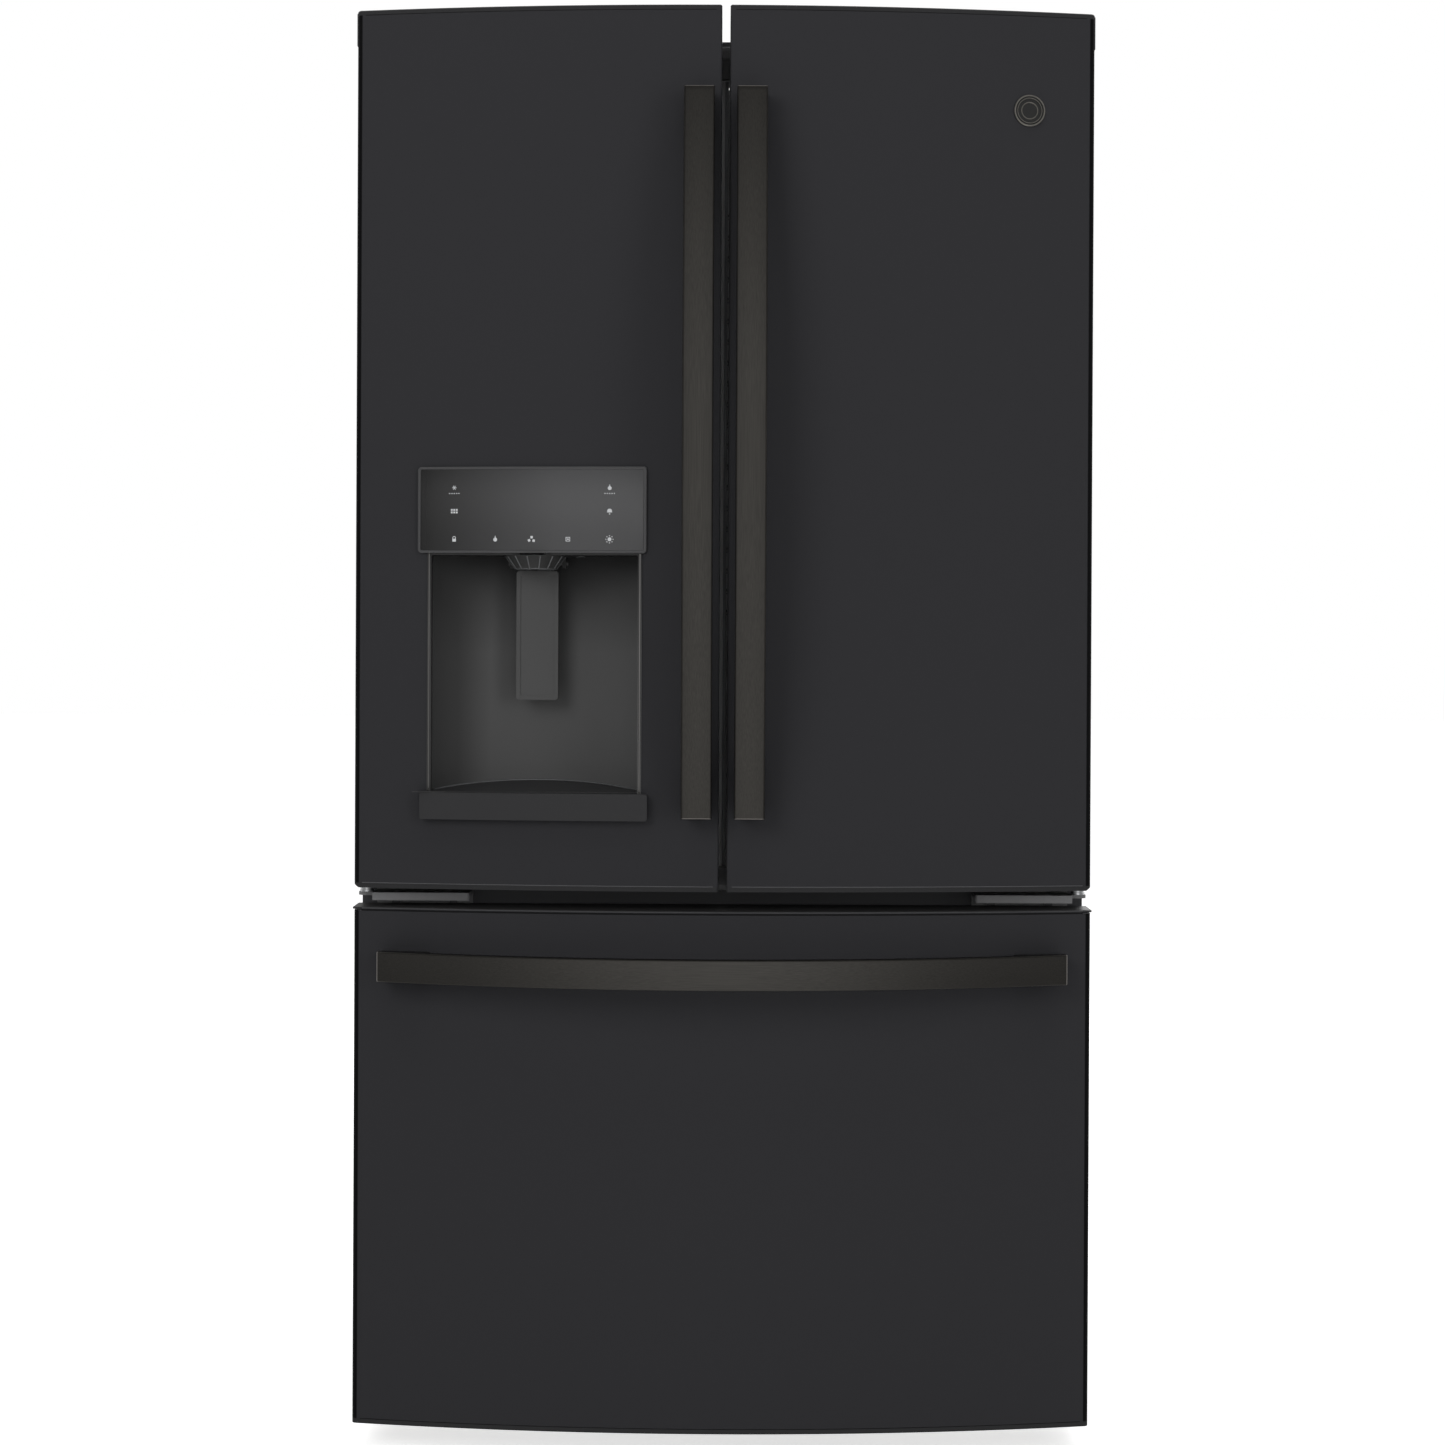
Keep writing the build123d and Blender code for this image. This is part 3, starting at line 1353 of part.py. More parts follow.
parts["ice_box"] = ice_box()
parts["ice_box_lid"] = ice_box_lid()
parts["ice_bucket"] = ice_bucket()


# ------------------------------------------------------------ shelves and bins
shelf_y0 = case_front + shelf_front
track_y0 = fridge_back - track_depth


def shelf_track(x):
    """Slotted steel ladder on the back wall."""
    track = block(x - track_width / 2, x + track_width / 2, track_y0, fridge_back, track_low, track_high)
    slots = []
    half = track_slot_half
    step = (track_high - track_low - 5 * half) / (track_slots - 1)
    for i in range(track_slots):
        z = track_low + 2.5 * half + i * step
        slots.append(block(x - 2.5, x + 2.5, track_y0 - 1, track_y0 + 4, z - half, z + half))
    return track - slots


def shelf_frame(x0, x1, y0, top, arms):
    """Moulded border that holds a glass plate, with a steel arm below each track."""
    low = top - shelf_thick
    y1 = track_y0
    frame = block(x0, x1, y0, y1, low, top)
    frame = fillet(frame.edges().filter_by(Axis.X).group_by(Axis.Y)[0], shelf_nose)
    frame -= shelf_glass(x0, x1, y0, top)
    edge = shelf_border + shelf_rest
    frame -= block(x0 + edge, x1 - edge, y0 + edge, y1 - edge, low - 1, top + 1)
    half = arm_thick / 2
    for x in arms:
        frame += block(x - half, x + half, y1 - arm_length, y1, low - arm_drop, low)
    return frame


def shelf_glass(x0, x1, y0, top):
    """Glass plate let into the border."""
    edge = shelf_border
    return block(x0 + edge, x1 - edge, y0 + edge, track_y0 - edge, top - glass, top)


shelf_out = opening_half - shelf_gap
shelf_in = tower_half + divider_play
frames = [shelf_frame(-shelf_out, -shelf_in, shelf_y0, left_shelf, (-track_outer, -track_inner))]
panes = [shelf_glass(-shelf_out, -shelf_in, shelf_y0, left_shelf)]
for z in right_shelves:
    frames.append(shelf_frame(shelf_in, shelf_out, shelf_y0, z, (track_outer, track_inner)))
    panes.append(shelf_glass(shelf_in, shelf_out, shelf_y0, z))

crisper_y0 = case_front + crisper_front
wall_x = opening_half
frames.append(shelf_frame(-wall_x, wall_x, crisper_y0, crisper_cover, ()))
divider_y0 = crisper_y0 + shelf_nose
frames.append(block(-divider_half, divider_half, divider_y0, track_y0, fridge_floor, cover_low))
panes.append(shelf_glass(-wall_x, wall_x, crisper_y0, crisper_cover))


def crisper(side):
    """Clear drawer with a thicker front and a finger ledge."""
    x0 = divider_half + divider_play
    x1 = opening_half - crisper_side
    y0 = crisper_y0
    z0 = fridge_floor + fit
    z1 = cover_low - crisper_play
    drawer = tub(x0, x1, y0, track_y0 - crisper_play, z0, z1, crisper_wall)
    front = block(x0, x1, y0, y0 + crisper_front_wall, z0, z1)
    grip = block(x0 + grip_inset, x1 - grip_inset, y0 - 1, y0 + grip_depth, z1 - grip_low, z1 - grip_high)
    drawer += front - grip
    drawer = fillet(drawer.edges().filter_by(Axis.Z).group_by(Axis.Y)[0], crisper_wall)
    return drawer if side > 0 else other_side(drawer)


def air_tower():
    """Duct on the back wall with air slots."""
    front = track_y0 - tower_proud
    tower = block(-tower_half, tower_half, front, fridge_back, track_low, track_high)
    tower = fillet(tower.edges().filter_by(Axis.Z).group_by(Axis.Y)[0], tower_proud - 1)
    half = tower_half - tower_proud + 1
    step = (track_high - track_low) / (tower_slots + 0.4)
    slots = []
    for i in range(tower_slots):
        z = track_low + step * (i + 0.6)
        for low in (z, z + 2 * tower_slot - 2):
            slots.append(block(-half, half, front - 1, track_y0, low, low + tower_slot))
    return tower - slots


tracks = [shelf_track(x) for x in (-track_outer, -track_inner, track_inner, track_outer)]
parts["shelf_tracks"] = group(*tracks)
parts["shelf_frames"] = group(*frames)
parts["shelf_glass"] = group(*panes)
parts["crisper_left"] = crisper(-1)
parts["crisper_right"] = crisper(1)
parts["air_tower"] = air_tower()


# -------------------------------------------------------------- freezer drawer
drawer_rounds = (outer_round, outer_round)
front_low = drawer_bottom + cap_height
front_high = drawer_top - drawer_cap - drawer_groove


def drawer_skin():
    """Freezer front's sheet."""
    outer = slab(-door_half, door_half, front_low, front_high, 0, door_back, drawer_rounds)
    x = door_half - skin
    r = outer_round - skin
    return outer - slab(-x, x, front_low - 1, front_high + 1, -skin, door_back + 1, (r, r))


def drawer_core():
    """Foamed core with the moulded inside."""
    x = door_half - skin
    r = outer_round - skin
    core = slab(-x, x, front_low, front_high, -skin, door_back, (r, r))
    raised = opening_half - dike_side
    low = freezer_floor + 1.5 * dike_height
    return core + block(-raised, raised, door_back, case_front, low, freezer_ceiling - 1.5 * dike_height)


def drawer_caps():
    """Top cap with a shadow groove below its edge, and bottom cap."""
    x = door_half
    deep = drawer_groove_depth
    cap_low = front_high + drawer_groove
    neck = slab(-x + deep, x - deep, front_high, cap_low, -deep, door_back, drawer_rounds)
    top = slab(-x - deep, x + deep, cap_low, drawer_top, 0.5, door_back, drawer_rounds)
    top = chamfer(top.faces().sort_by(Axis.Z)[-1].edges(), panel_edge)
    bottom = slab(-x, x, drawer_bottom, front_low, 0, door_back, drawer_rounds)
    return group(neck + top, bottom)


def drawer_gasket():
    """Gasket ring of the freezer front."""
    x = case_half - gasket_inset
    rim = gasket_width + 1
    return gasket_ring(-x, x, freezer_floor - rim, freezer_ceiling + rim)


rail_y0 = case_front + rail_front
rail_y1 = step_y - rail_back
rail_top = rail_low + rail_height
fixed_in = opening_half - rail_thick - fit
middle_in = fixed_in - fit - rail_thick
moving_in = middle_in - fit - rail_thick


def rail_pair(inner, y0, y1, z0, z1):
    """A pair of slide members, one on each side, with a long bead on each."""
    member = block(inner, inner + rail_thick, y0, y1, z0, z1)
    member = chamfer(member.edges().filter_by(Axis.Y), rail_thick / 4)
    return group(member, other_side(member))


def fixed_rails():
    """Outer slide members on the liner, with the groove for the balls."""
    inner = opening_half - rail_thick
    member = block(inner, opening_half, rail_y0, rail_y1, rail_low, rail_top)
    edge = rail_height / 4
    member -= block(inner, inner + 2, rail_y0, rail_y1, rail_low + edge, rail_top - edge)
    return group(member, other_side(member))


def freezer_bin():
    """Deep bin that hangs on the moving rails."""
    x = moving_in - rail_thick - fit
    body = tub(-x, x, rail_y0 + 2, rail_y1, bin_low, bin_high, bin_wall)
    body = fillet(body.edges().filter_by(Axis.Z).group_by(Axis.Y)[0], bin_wall - 0.5)
    flange_x = moving_in + rail_thick - 0.5
    y0 = rail_y0 + rail_height / 2
    flange = block(-flange_x, flange_x, y0, rail_y1 - rail_height / 2, rail_top, rail_top + 4)
    inside = block(-x + 1, x - 1, rail_y0 + 3, rail_y1 - 1, rail_top - 1, rail_top + 5)
    return body + (flange - inside)


basket_pitch = 34.0         # windows of the basket, across and along
basket_wire = 6.0
basket_wall = 3.0
basket_rail = 8.0
skid = 4.0


def windows(start, end):
    """Starts and ends of the windows that fit between two places."""
    count = int((end - start) // basket_pitch)
    spots = [start + i * basket_pitch for i in range(count)]
    return [(spot, spot + basket_pitch - basket_wire) for spot in spots]


def freezer_basket():
    """Upper basket of five panels: floor, back, front with a rail, two sides with skids."""
    x = opening_half - ledge_width - fit - skid
    y0 = case_front + basket_front
    y1 = fridge_back - basket_back
    base = basket_low + basket_wall
    row_height = (basket_height - 30) / 3
    across = windows(20 - x, x)
    along = windows(y0 + 24, y1 - 24)
    back_cuts = []
    side_cuts = []
    for row in range(3):
        z0 = basket_low + 10 + row * row_height
        z1 = z0 + row_height - basket_wire
        if z0 < ledge_z + 12 and z1 > ledge_z - 2:
            continue
        for x0, x1 in across:
            back_cuts.append(block(x0, x1, y1 - 5, y1 + 1, z0, z1))
        for start, end in along:
            side_cuts.append(block(x - 5, x + 1, start, end, z0, z1))
    floor = block(-x, x, y0, y1, basket_low, base)
    floor -= [block(x0, x1, y0 + 20, y1 - 20, basket_low - 1, base + 1) for x0, x1 in across]
    back = block(-x, x, y1 - basket_wall, y1, base, basket_high) - back_cuts
    side = block(x - basket_wall, x, y0 + basket_wall, y1 - basket_wall, base, basket_high)
    side -= side_cuts
    skid_z = ledge_z + ledge_height + fit
    side += block(x - 1, opening_half - dike_side, y0 + 6, y1 - 6, skid_z, skid_z + skid)
    rail = block(-x, x, y0 - basket_rail, y0, basket_high - 60, basket_high)
    front = block(-x, x, y0, y0 + basket_wall, base, basket_high)
    front += fillet(rail.edges().filter_by(Axis.X), 3.2)
    return group(floor, back, front, side, other_side(side))


parts["drawer_skin"] = drawer_skin()
parts["drawer_core"] = drawer_core()
parts["drawer_caps"] = drawer_caps()
parts["drawer_gasket"] = drawer_gasket()
parts["rails_fixed"] = fixed_rails()
edge = rail_height / 10
parts["rails_middle"] = rail_pair(middle_in, rail_y0, rail_y1, rail_low + edge, rail_top - edge)
parts["rails_moving"] = rail_pair(moving_in, case_front, rail_y1, rail_low, rail_top)
parts["freezer_bin"] = freezer_bin()
parts["freezer_basket"] = freezer_basket()

os.makedirs("parts", exist_ok=True)
for node, shape in parts.items():
    export_step(shape, f"parts/{node}.step")
    print(f"{node:22s} {len(shape.solids())} solids, {shape.volume / 1000:10.1f} cm3")
print(len(parts), "nodes")
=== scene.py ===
# %% [markdown]
# # A french door refrigerator, dressed for its picture
#
# The construction of this refrigerator is already packed as a fixed frame: case, liners,
# hinges, doors, drawer, shelves and the machine room are all solids that move on their joints.
# What is missing is everything the eye reads first: paint, brushed metal, clear plastic,
# softened edges, printed marks, lenses and screws.  This lesson adds them cell by cell.
#
# The frame is loaded before anything else, because every new piece takes its place from it.
# All lengths are in metres, +X runs to the right of somebody facing the doors, +Y to the back.

# %% Load the frame
import bpy
import bmesh
from math import asin, cos, pi, radians, sin, sqrt
from mathutils import Matrix, Vector


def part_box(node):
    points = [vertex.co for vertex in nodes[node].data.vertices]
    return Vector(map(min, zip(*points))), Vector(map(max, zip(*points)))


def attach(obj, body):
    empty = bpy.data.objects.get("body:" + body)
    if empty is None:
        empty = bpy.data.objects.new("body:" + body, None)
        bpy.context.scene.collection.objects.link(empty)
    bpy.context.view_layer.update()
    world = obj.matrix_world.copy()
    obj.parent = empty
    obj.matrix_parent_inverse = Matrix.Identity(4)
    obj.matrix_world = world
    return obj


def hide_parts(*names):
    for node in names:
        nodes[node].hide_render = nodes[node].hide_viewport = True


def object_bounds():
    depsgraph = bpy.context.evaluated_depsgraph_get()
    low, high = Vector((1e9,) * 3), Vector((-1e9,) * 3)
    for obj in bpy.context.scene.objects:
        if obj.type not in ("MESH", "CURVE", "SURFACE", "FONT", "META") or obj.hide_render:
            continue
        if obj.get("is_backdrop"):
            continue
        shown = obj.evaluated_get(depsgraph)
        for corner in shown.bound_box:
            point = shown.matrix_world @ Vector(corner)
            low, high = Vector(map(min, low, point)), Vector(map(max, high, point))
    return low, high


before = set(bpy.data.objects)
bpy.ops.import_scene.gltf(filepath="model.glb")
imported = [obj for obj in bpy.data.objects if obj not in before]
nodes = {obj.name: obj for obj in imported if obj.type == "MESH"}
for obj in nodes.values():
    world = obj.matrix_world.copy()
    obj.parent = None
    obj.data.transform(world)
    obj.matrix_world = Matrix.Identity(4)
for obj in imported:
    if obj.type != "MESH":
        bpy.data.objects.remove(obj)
cad_low, cad_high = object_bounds()
print("nodes", len(nodes), "size", [round(v, 3) for v in cad_high - cad_low])

# %% [markdown]
# ## Camera
#
# The camera stands at the height of the appliance's middle, so that its upright edges stay
# upright.  The lens is a short telephoto from three metres: nearer, and the bowed doors would
# bulge.  There is a tiny sideways roll, because a real tripod is never quite level.  The lens
# shift frames the appliance without tilting the camera further.

# %% Place the camera
DOOR_END_INSET = 0.052
CAMERA_BACK = 3.141
CAMERA_HEIGHT = 1.0
TILT_DOWN, ROLL = 0.186, -0.275

door_end_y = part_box("left_door_skin")[1].y - DOOR_END_INSET
camera_data = bpy.data.cameras.new("camera")
camera = bpy.data.objects.new("camera", camera_data)
bpy.context.scene.collection.objects.link(camera)
bpy.context.scene.camera = camera
camera_data.sensor_width = 36.0
camera_data.lens = 63.51
camera_data.shift_x = -0.0007
camera_data.shift_y = -0.05
camera.location = (0.0, door_end_y - CAMERA_BACK, CAMERA_HEIGHT)
camera.rotation_euler = (radians(90 - TILT_DOWN), radians(ROLL), 0.0)
print("camera", [round(v, 3) for v in camera.location])

# %% [markdown]
# ## Nodes in one line
#
# World, floor and finishes are all made of shader nodes.  Added and linked one by one, they take
# five lines each, and the idea drowns.  Three small helpers keep them short: one adds a node and
# fills its inputs with numbers or with other nodes' sockets, one does sums, and one maps a value
# from one range to another.

# %% Helpers for nodes
def wire(tree, kind, inputs=None, **settings):
    """Add a shader node; each input takes a plain value or another node's socket."""
    node = tree.nodes.new("ShaderNode" + kind)
    for label, value in settings.items():
        setattr(node, label, value)
    for place, value in (inputs or {}).items():
        if isinstance(value, bpy.types.NodeSocket):
            tree.links.new(value, node.inputs[place])
        else:
            node.inputs[place].default_value = value
    return node


def sums(tree, operation, *values, clamp=False):
    """The result of a Math node."""
    inputs = dict(enumerate(values))
    return wire(tree, "Math", inputs, operation=operation, use_clamp=clamp).outputs[0]


def ramp(tree, value, start, end, low=0.0, high=1.0, kind="LINEAR"):
    """A value mapped from start and end to low and high."""
    labels = ("Value", "From Min", "From Max", "To Min", "To Max")
    inputs = dict(zip(labels, (value, start, end, low, high)))
    return wire(tree, "MapRange", inputs, interpolation_type=kind).outputs["Result"]


print("three helpers for nodes")

# %% [markdown]
# ## Studio
#
# The floor and the surroundings are white.  Turning the lamps up until they burn out would also
# wash out the paint, so the white is only what the camera, reflections and glass see, and the
# light that the world sheds is calmer.  The floor adds a little glow of its own to what the
# lamps give it, which lifts it to white and still lets the appliance throw a soft shadow.
#
# A bowed dark front needs something dark at both sides, or its edges dissolve into the white.
# In a studio two black flags stand there, left and right of the lens.  Here the world does
# their work: what gloss and metal see in front gets darker to both sides and overhead, and
# brighter towards the ground.

# %% White surroundings
scene = bpy.context.scene
scene.view_settings.view_transform = "Standard"
world = bpy.data.worlds.new("studio")
scene.world = world
world.use_nodes = True
tree = world.node_tree
tree.nodes.clear()
path = wire(tree, "LightPath").outputs
mirror_like = sums(tree, "MAXIMUM", path["Is Glossy Ray"], path["Is Transmission Ray"])
way = wire(tree, "SeparateXYZ", {0: wire(tree, "TexCoord").outputs["Generated"]}).outputs
sideways = sums(tree, "ABSOLUTE", way["X"])
shed = ramp(tree, sideways, 0.35, 0.90, 0.50, 0.22, "SMOOTHSTEP")
flags = ramp(tree, sideways, 0.12, 0.47, 1.0, 0.30, "SMOOTHSTEP")
ground = ramp(tree, way["Z"], -0.26, 0.10, 1.05, 1.42, "SMOOTHSTEP")
ceiling = ramp(tree, way["Z"], 0.20, 0.55, 1.0, 0.26, "SMOOTHSTEP")
shaded = sums(tree, "MULTIPLY", sums(tree, "MULTIPLY", flags, ground), ceiling)
in_front = ramp(tree, way["Y"], 0.15, -0.15, 0.0, 1.0, "SMOOTHSTEP")
mirrored = wire(tree, "Mix", {0: in_front, 2: 1.0, 3: shaded}).outputs[0]
unseen = wire(tree, "Mix", {0: mirror_like, 2: shed, 3: mirrored}).outputs[0]
strength = sums(tree, "MAXIMUM", unseen, path["Is Camera Ray"])
back = wire(tree, "Background", {"Color": (1.0, 1.0, 1.0, 1.0), "Strength": strength})
wire(tree, "OutputWorld", {"Surface": back.outputs[0]})
print("world nodes", len(tree.nodes))

# %% [markdown]
# ## Lamps
#
# Soft boxes do the modelling: a large one high on the left, a weaker one on the right that keeps
# the far side open, one overhead for the tops of caps and shelves, one behind, and a long,
# faint one in front.  All are wide, because a satin door shows a small lamp as a hard stripe,
# and those in front aren't mirrored at all: there the world alone is what gloss sees.

# %% Soft boxes
def soft_box(name, place, target, width, height, power, mirrored=True):
    """An area lamp that looks at a point."""
    data = bpy.data.lights.new(name, "AREA")
    data.shape = "RECTANGLE"
    data.size = width
    data.size_y = height
    data.energy = power
    lamp = bpy.data.objects.new(name, data)
    lamp.location = place
    lamp.rotation_euler = (Vector(target) - Vector(place)).to_track_quat("-Z", "Y").to_euler()
    lamp.visible_glossy = mirrored
    scene.collection.objects.link(lamp)


middle = Vector((0.0, -0.3, 0.9))
soft_box("key", (-2.6, -4.2, 2.9), middle, 2.4, 2.4, 95.0, False)
soft_box("fill", (3.2, -3.6, 1.6), middle, 1.8, 2.6, 50.0, False)
soft_box("top", (0.0, -0.9, 4.2), middle, 3.0, 2.2, 50.0, False)
soft_box("rear", (1.5, 4.0, 2.6), middle, 2.4, 2.0, 60.0)
soft_box("front", (0.0, -6.6, 1.45), middle, 4.2, 1.1, 18.0, False)

# %% [markdown]
# ## Modelling by hand, in code
#
# Every new piece starts as a primitive at its size and place, and is shaped in edit mode.  An
# operator works on whatever is selected, and the frame comes in selected, so each step first
# clears the selection.  These few helpers keep that habit: they add, pick faces or edges by
# their place or direction, and hand the finished piece over with its place in its mesh.

# %% Start a piece
def clear():
    """Leave edit mode and select nothing."""
    if bpy.context.object and bpy.context.object.mode != "OBJECT":
        bpy.ops.object.mode_set(mode="OBJECT")
    bpy.ops.object.select_all(action="DESELECT")


def take(piece):
    """Select one piece alone and make it the active one."""
    clear()
    piece.select_set(True)
    bpy.context.view_layer.objects.active = piece


def named(name):
    """Give the new primitive its name, with its place and size in the mesh."""
    piece = bpy.context.object
    piece.name = name
    piece.data.name = name
    bpy.ops.object.transform_apply(location=True, rotation=True, scale=True)
    return piece


def box_piece(name, low, high):
    """A block between two corners, to be shaped further."""
    clear()
    low, high = Vector(low), Vector(high)
    bpy.ops.mesh.primitive_cube_add(size=1.0, location=(low + high) / 2, scale=high - low)
    return named(name)


def plane_piece(name, place, turn, wide, tall):
    """A bare rectangle, turned and placed: the start of rings and swept bars."""
    clear()
    bpy.ops.mesh.primitive_plane_add(size=1.0, location=place, rotation=turn)
    bpy.context.object.scale = (wide, tall, 1)
    return named(name)


def disc_piece(name, place, radius, depth, direction=(0, 0, 1), sides=48):
    """A round plate or rod, centred on its place, along a direction."""
    clear()
    turn = Vector(direction).to_track_quat("Z", "Y").to_euler()
    bpy.ops.mesh.primitive_cylinder_add(
        vertices=sides, radius=radius, depth=depth, location=place, rotation=turn
    )
    return named(name)


print("primitives: box_piece, plane_piece, disc_piece")


# %% Select by place or direction
def pick(piece, test=lambda item: True, kind="FACE"):
    """In edit mode, select only the faces, edges or points that pass a test."""
    take(piece)
    bpy.ops.object.mode_set(mode="EDIT")
    bpy.ops.mesh.select_mode(type=kind)
    bpy.ops.mesh.select_all(action="DESELECT")
    mesh = bmesh.from_edit_mesh(piece.data)
    mesh.normal_update()
    items = {"FACE": mesh.faces, "EDGE": mesh.edges, "VERT": mesh.verts}[kind]
    chosen = [item for item in items if test(item)]
    for item in chosen:
        item.select = True
    mesh.select_flush_mode()
    bmesh.update_edit_mesh(piece.data)
    return len(chosen)


def facing(direction, limit=0.9):
    """A test for faces that look along a direction."""
    goal = Vector(direction).normalized()
    return lambda face: face.normal.dot(goal) > limit


def front_to_back(edge):
    """A test for edges that run along Y."""
    return abs((edge.verts[1].co - edge.verts[0].co).normalized().y) > 0.9


def open_edge(edge):
    """A test for edges at the rim of a hole."""
    return len(edge.link_faces) == 1


print("tests: facing, front_to_back, open_edge")


# %% Shape a piece
def rounded(piece, width, segments=3, angle=30):
    """Soften all the sharp edges with a bevel that is applied."""
    take(piece)
    bevel = piece.modifiers.new("soften", "BEVEL")
    bevel.width = width
    bevel.segments = segments
    bevel.limit_method = "ANGLE"
    bevel.angle_limit = radians(angle)
    bevel.harden_normals = False
    bpy.ops.object.modifier_apply(modifier=bevel.name)
    return piece


def round_corners(piece, radius, segments):
    """Round the edges that run front to back."""
    pick(piece, front_to_back, "EDGE")
    bpy.ops.mesh.bevel(offset=radius, segments=segments, affect="EDGES")
    clear()
    return piece


def let_in(piece, look, *steps):
    """Inset the faces that look one way, again and again: thickness and depth of each step."""
    pick(piece, facing(look))
    for thickness, depth in steps:
        bpy.ops.mesh.inset(thickness=thickness, depth=depth)
    clear()
    return piece


def pushed(piece, look, border, move):
    """Inset the faces that look one way and push the new face in or out."""
    pick(piece, facing(look))
    bpy.ops.mesh.inset(thickness=border)
    bpy.ops.transform.translate(value=move)
    clear()
    return piece


def closed(piece, merge=1e-5):
    """Merge doubles and point all the faces outwards."""
    pick(piece, kind="VERT")
    bpy.ops.mesh.remove_doubles(threshold=merge)
    bpy.ops.mesh.normals_make_consistent(inside=False)
    clear()
    return piece


print("shaping: rounded, round_corners, let_in, pushed, closed")


# %% Join, copy and hand over
def joined(name, pieces):
    """Several pieces of one finish become one object."""
    clear()
    for piece in pieces:
        piece.select_set(True)
    bpy.context.view_layer.objects.active = pieces[0]
    if len(pieces) > 1:
        bpy.ops.object.join()
    piece = bpy.context.object
    piece.name = name
    piece.data.name = name
    return piece


def copy_at(piece, move):
    """A copy with its own mesh, moved by a distance."""
    twin = piece.copy()
    twin.data = piece.data.copy()
    twin.data.transform(Matrix.Translation(Vector(move)))
    scene.collection.objects.link(twin)
    return twin


def hand_over(piece, finish, body, smooth=35):
    """Shade the piece, give it its finish and let it move with its body."""
    take(piece)
    bpy.ops.object.shade_smooth_by_angle(angle=radians(smooth))
    piece.data.materials.clear()
    piece.data.materials.append(finish)
    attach(piece, body)
    print(piece.name, len(piece.data.polygons), "faces, rides", body)
    return piece


def second_finish(piece, finish, test):
    """Give the faces that pass a test another finish."""
    piece.data.materials.append(finish)
    chosen = [face for face in piece.data.polygons if test(face)]
    for face in chosen:
        face.material_index = 1
    print("  of these in", finish.name, len(chosen))


print("handing over: joined, copy_at, hand_over, second_finish")

# %% [markdown]
# The floor is one wide plane that meets the white world far behind the appliance, so no horizon
# shows.  It is matt, and gloss doesn't see it: the world stands in for its reflection.

# %% Floor
clear()
bpy.ops.mesh.primitive_plane_add(size=60.0, location=(0, 0, 0))
floor = named("floor")
floor_finish = bpy.data.materials.new("studio_floor")
floor_finish.use_nodes = True
tree = floor_finish.node_tree
shader = tree.nodes["Principled BSDF"]
shader.inputs["Base Color"].default_value = (0.86, 0.86, 0.86, 1.0)
shader.inputs["Roughness"].default_value = 0.7
shader.inputs["Specular IOR Level"].default_value = 0.1
path = wire(tree, "LightPath").outputs
seen = sums(tree, "MAXIMUM", path["Is Camera Ray"], path["Is Glossy Ray"])
shader.inputs["Emission Color"].default_value = (1.0, 1.0, 1.0, 1.0)
tree.links.new(ramp(tree, seen, 0.0, 1.0, 0.0, 0.66), shader.inputs["Emission Strength"])
floor.data.materials.append(floor_finish)
floor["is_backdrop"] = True
floor.visible_glossy = False
print("floor is", tuple(round(v, 1) for v in floor.dimensions))

# %% [markdown]
# ## Effects that several finishes share
#
# Paint, moulded plastic and brushed steel differ in colour, but their surfaces are made of a few
# effects: a fine grain, a slow change over a hand's breadth, and the dust that settles where
# nobody wipes.  Each is built once as a node group with named inputs, and every finish places
# it with its own values.  A group only puts out masks; the shader stays in the finish itself.

# %% Grain, slow change and dust
def new_group(name, output, **inputs):
    """A shader node group with number or vector inputs, one mask, and its open ends."""
    group = bpy.data.node_groups.new(name, "ShaderNodeTree")
    for label, value in inputs.items():
        kind = "NodeSocketVector" if isinstance(value, tuple) else "NodeSocketFloat"
        socket = group.interface.new_socket(label, in_out="INPUT", socket_type=kind)
        socket.default_value = value
    group.interface.new_socket(output, in_out="OUTPUT", socket_type="NodeSocketFloat")
    given = group.nodes.new("NodeGroupInput").outputs
    result = group.nodes.new("NodeGroupOutput").inputs[output]
    return group, given, result, wire(group, "TexCoord").outputs["Object"]


def grain_group():
    """Fine grain, stretched by the vector: long streaks for brushing, round for moulding."""
    group, given, result, place = new_group(
        "surface_grain", "Grain", Stretch=(1.0, 1.0, 1.0), Fineness=400.0, Contrast=0.5
    )
    scale = wire(group, "VectorMath", {0: place, 1: given["Stretch"]}, operation="MULTIPLY")
    noise = {"Vector": scale.outputs[0], "Scale": given["Fineness"]}
    noise |= {"Detail": 3.0, "Roughness": 0.6}
    centred = sums(group, "SUBTRACT", wire(group, "TexNoise", noise).outputs["Fac"], 0.5)
    gain = sums(group, "MULTIPLY_ADD", centred, given["Contrast"], 0.5, clamp=True)
    group.links.new(gain, result)
    return group


def drift_group():
    """Slow change over the surface: uneven coating, wiping marks, the flow of a moulding."""
    group, given, result, place = new_group("slow_drift", "Drift", Size=3.0, Contrast=1.0)
    noise = {"Vector": place, "Scale": given["Size"]}
    noise |= {"Detail": 5.0, "Roughness": 0.55, "Distortion": 0.4}
    cloud = ramp(group, wire(group, "TexNoise", noise).outputs["Fac"], 0.3, 0.7)
    group.links.new(sums(group, "MULTIPLY", cloud, given["Contrast"], clamp=True), result)
    return group


def dust_group():
    """Where dust lies: on faces that look up, broken up by a fine noise."""
    group, given, result, place = new_group("settled_dust", "Dust", Amount=0.2, Fineness=60.0)
    normal = wire(group, "NewGeometry").outputs["Normal"]
    upward = ramp(group, wire(group, "SeparateXYZ", {0: normal}).outputs["Z"], 0.4, 1.0)
    noise = {"Vector": place, "Scale": given["Fineness"], "Detail": 6.0}
    both = sums(group, "MULTIPLY", upward, wire(group, "TexNoise", noise).outputs["Fac"])
    group.links.new(sums(group, "MULTIPLY", both, given["Amount"], clamp=True), result)
    return group


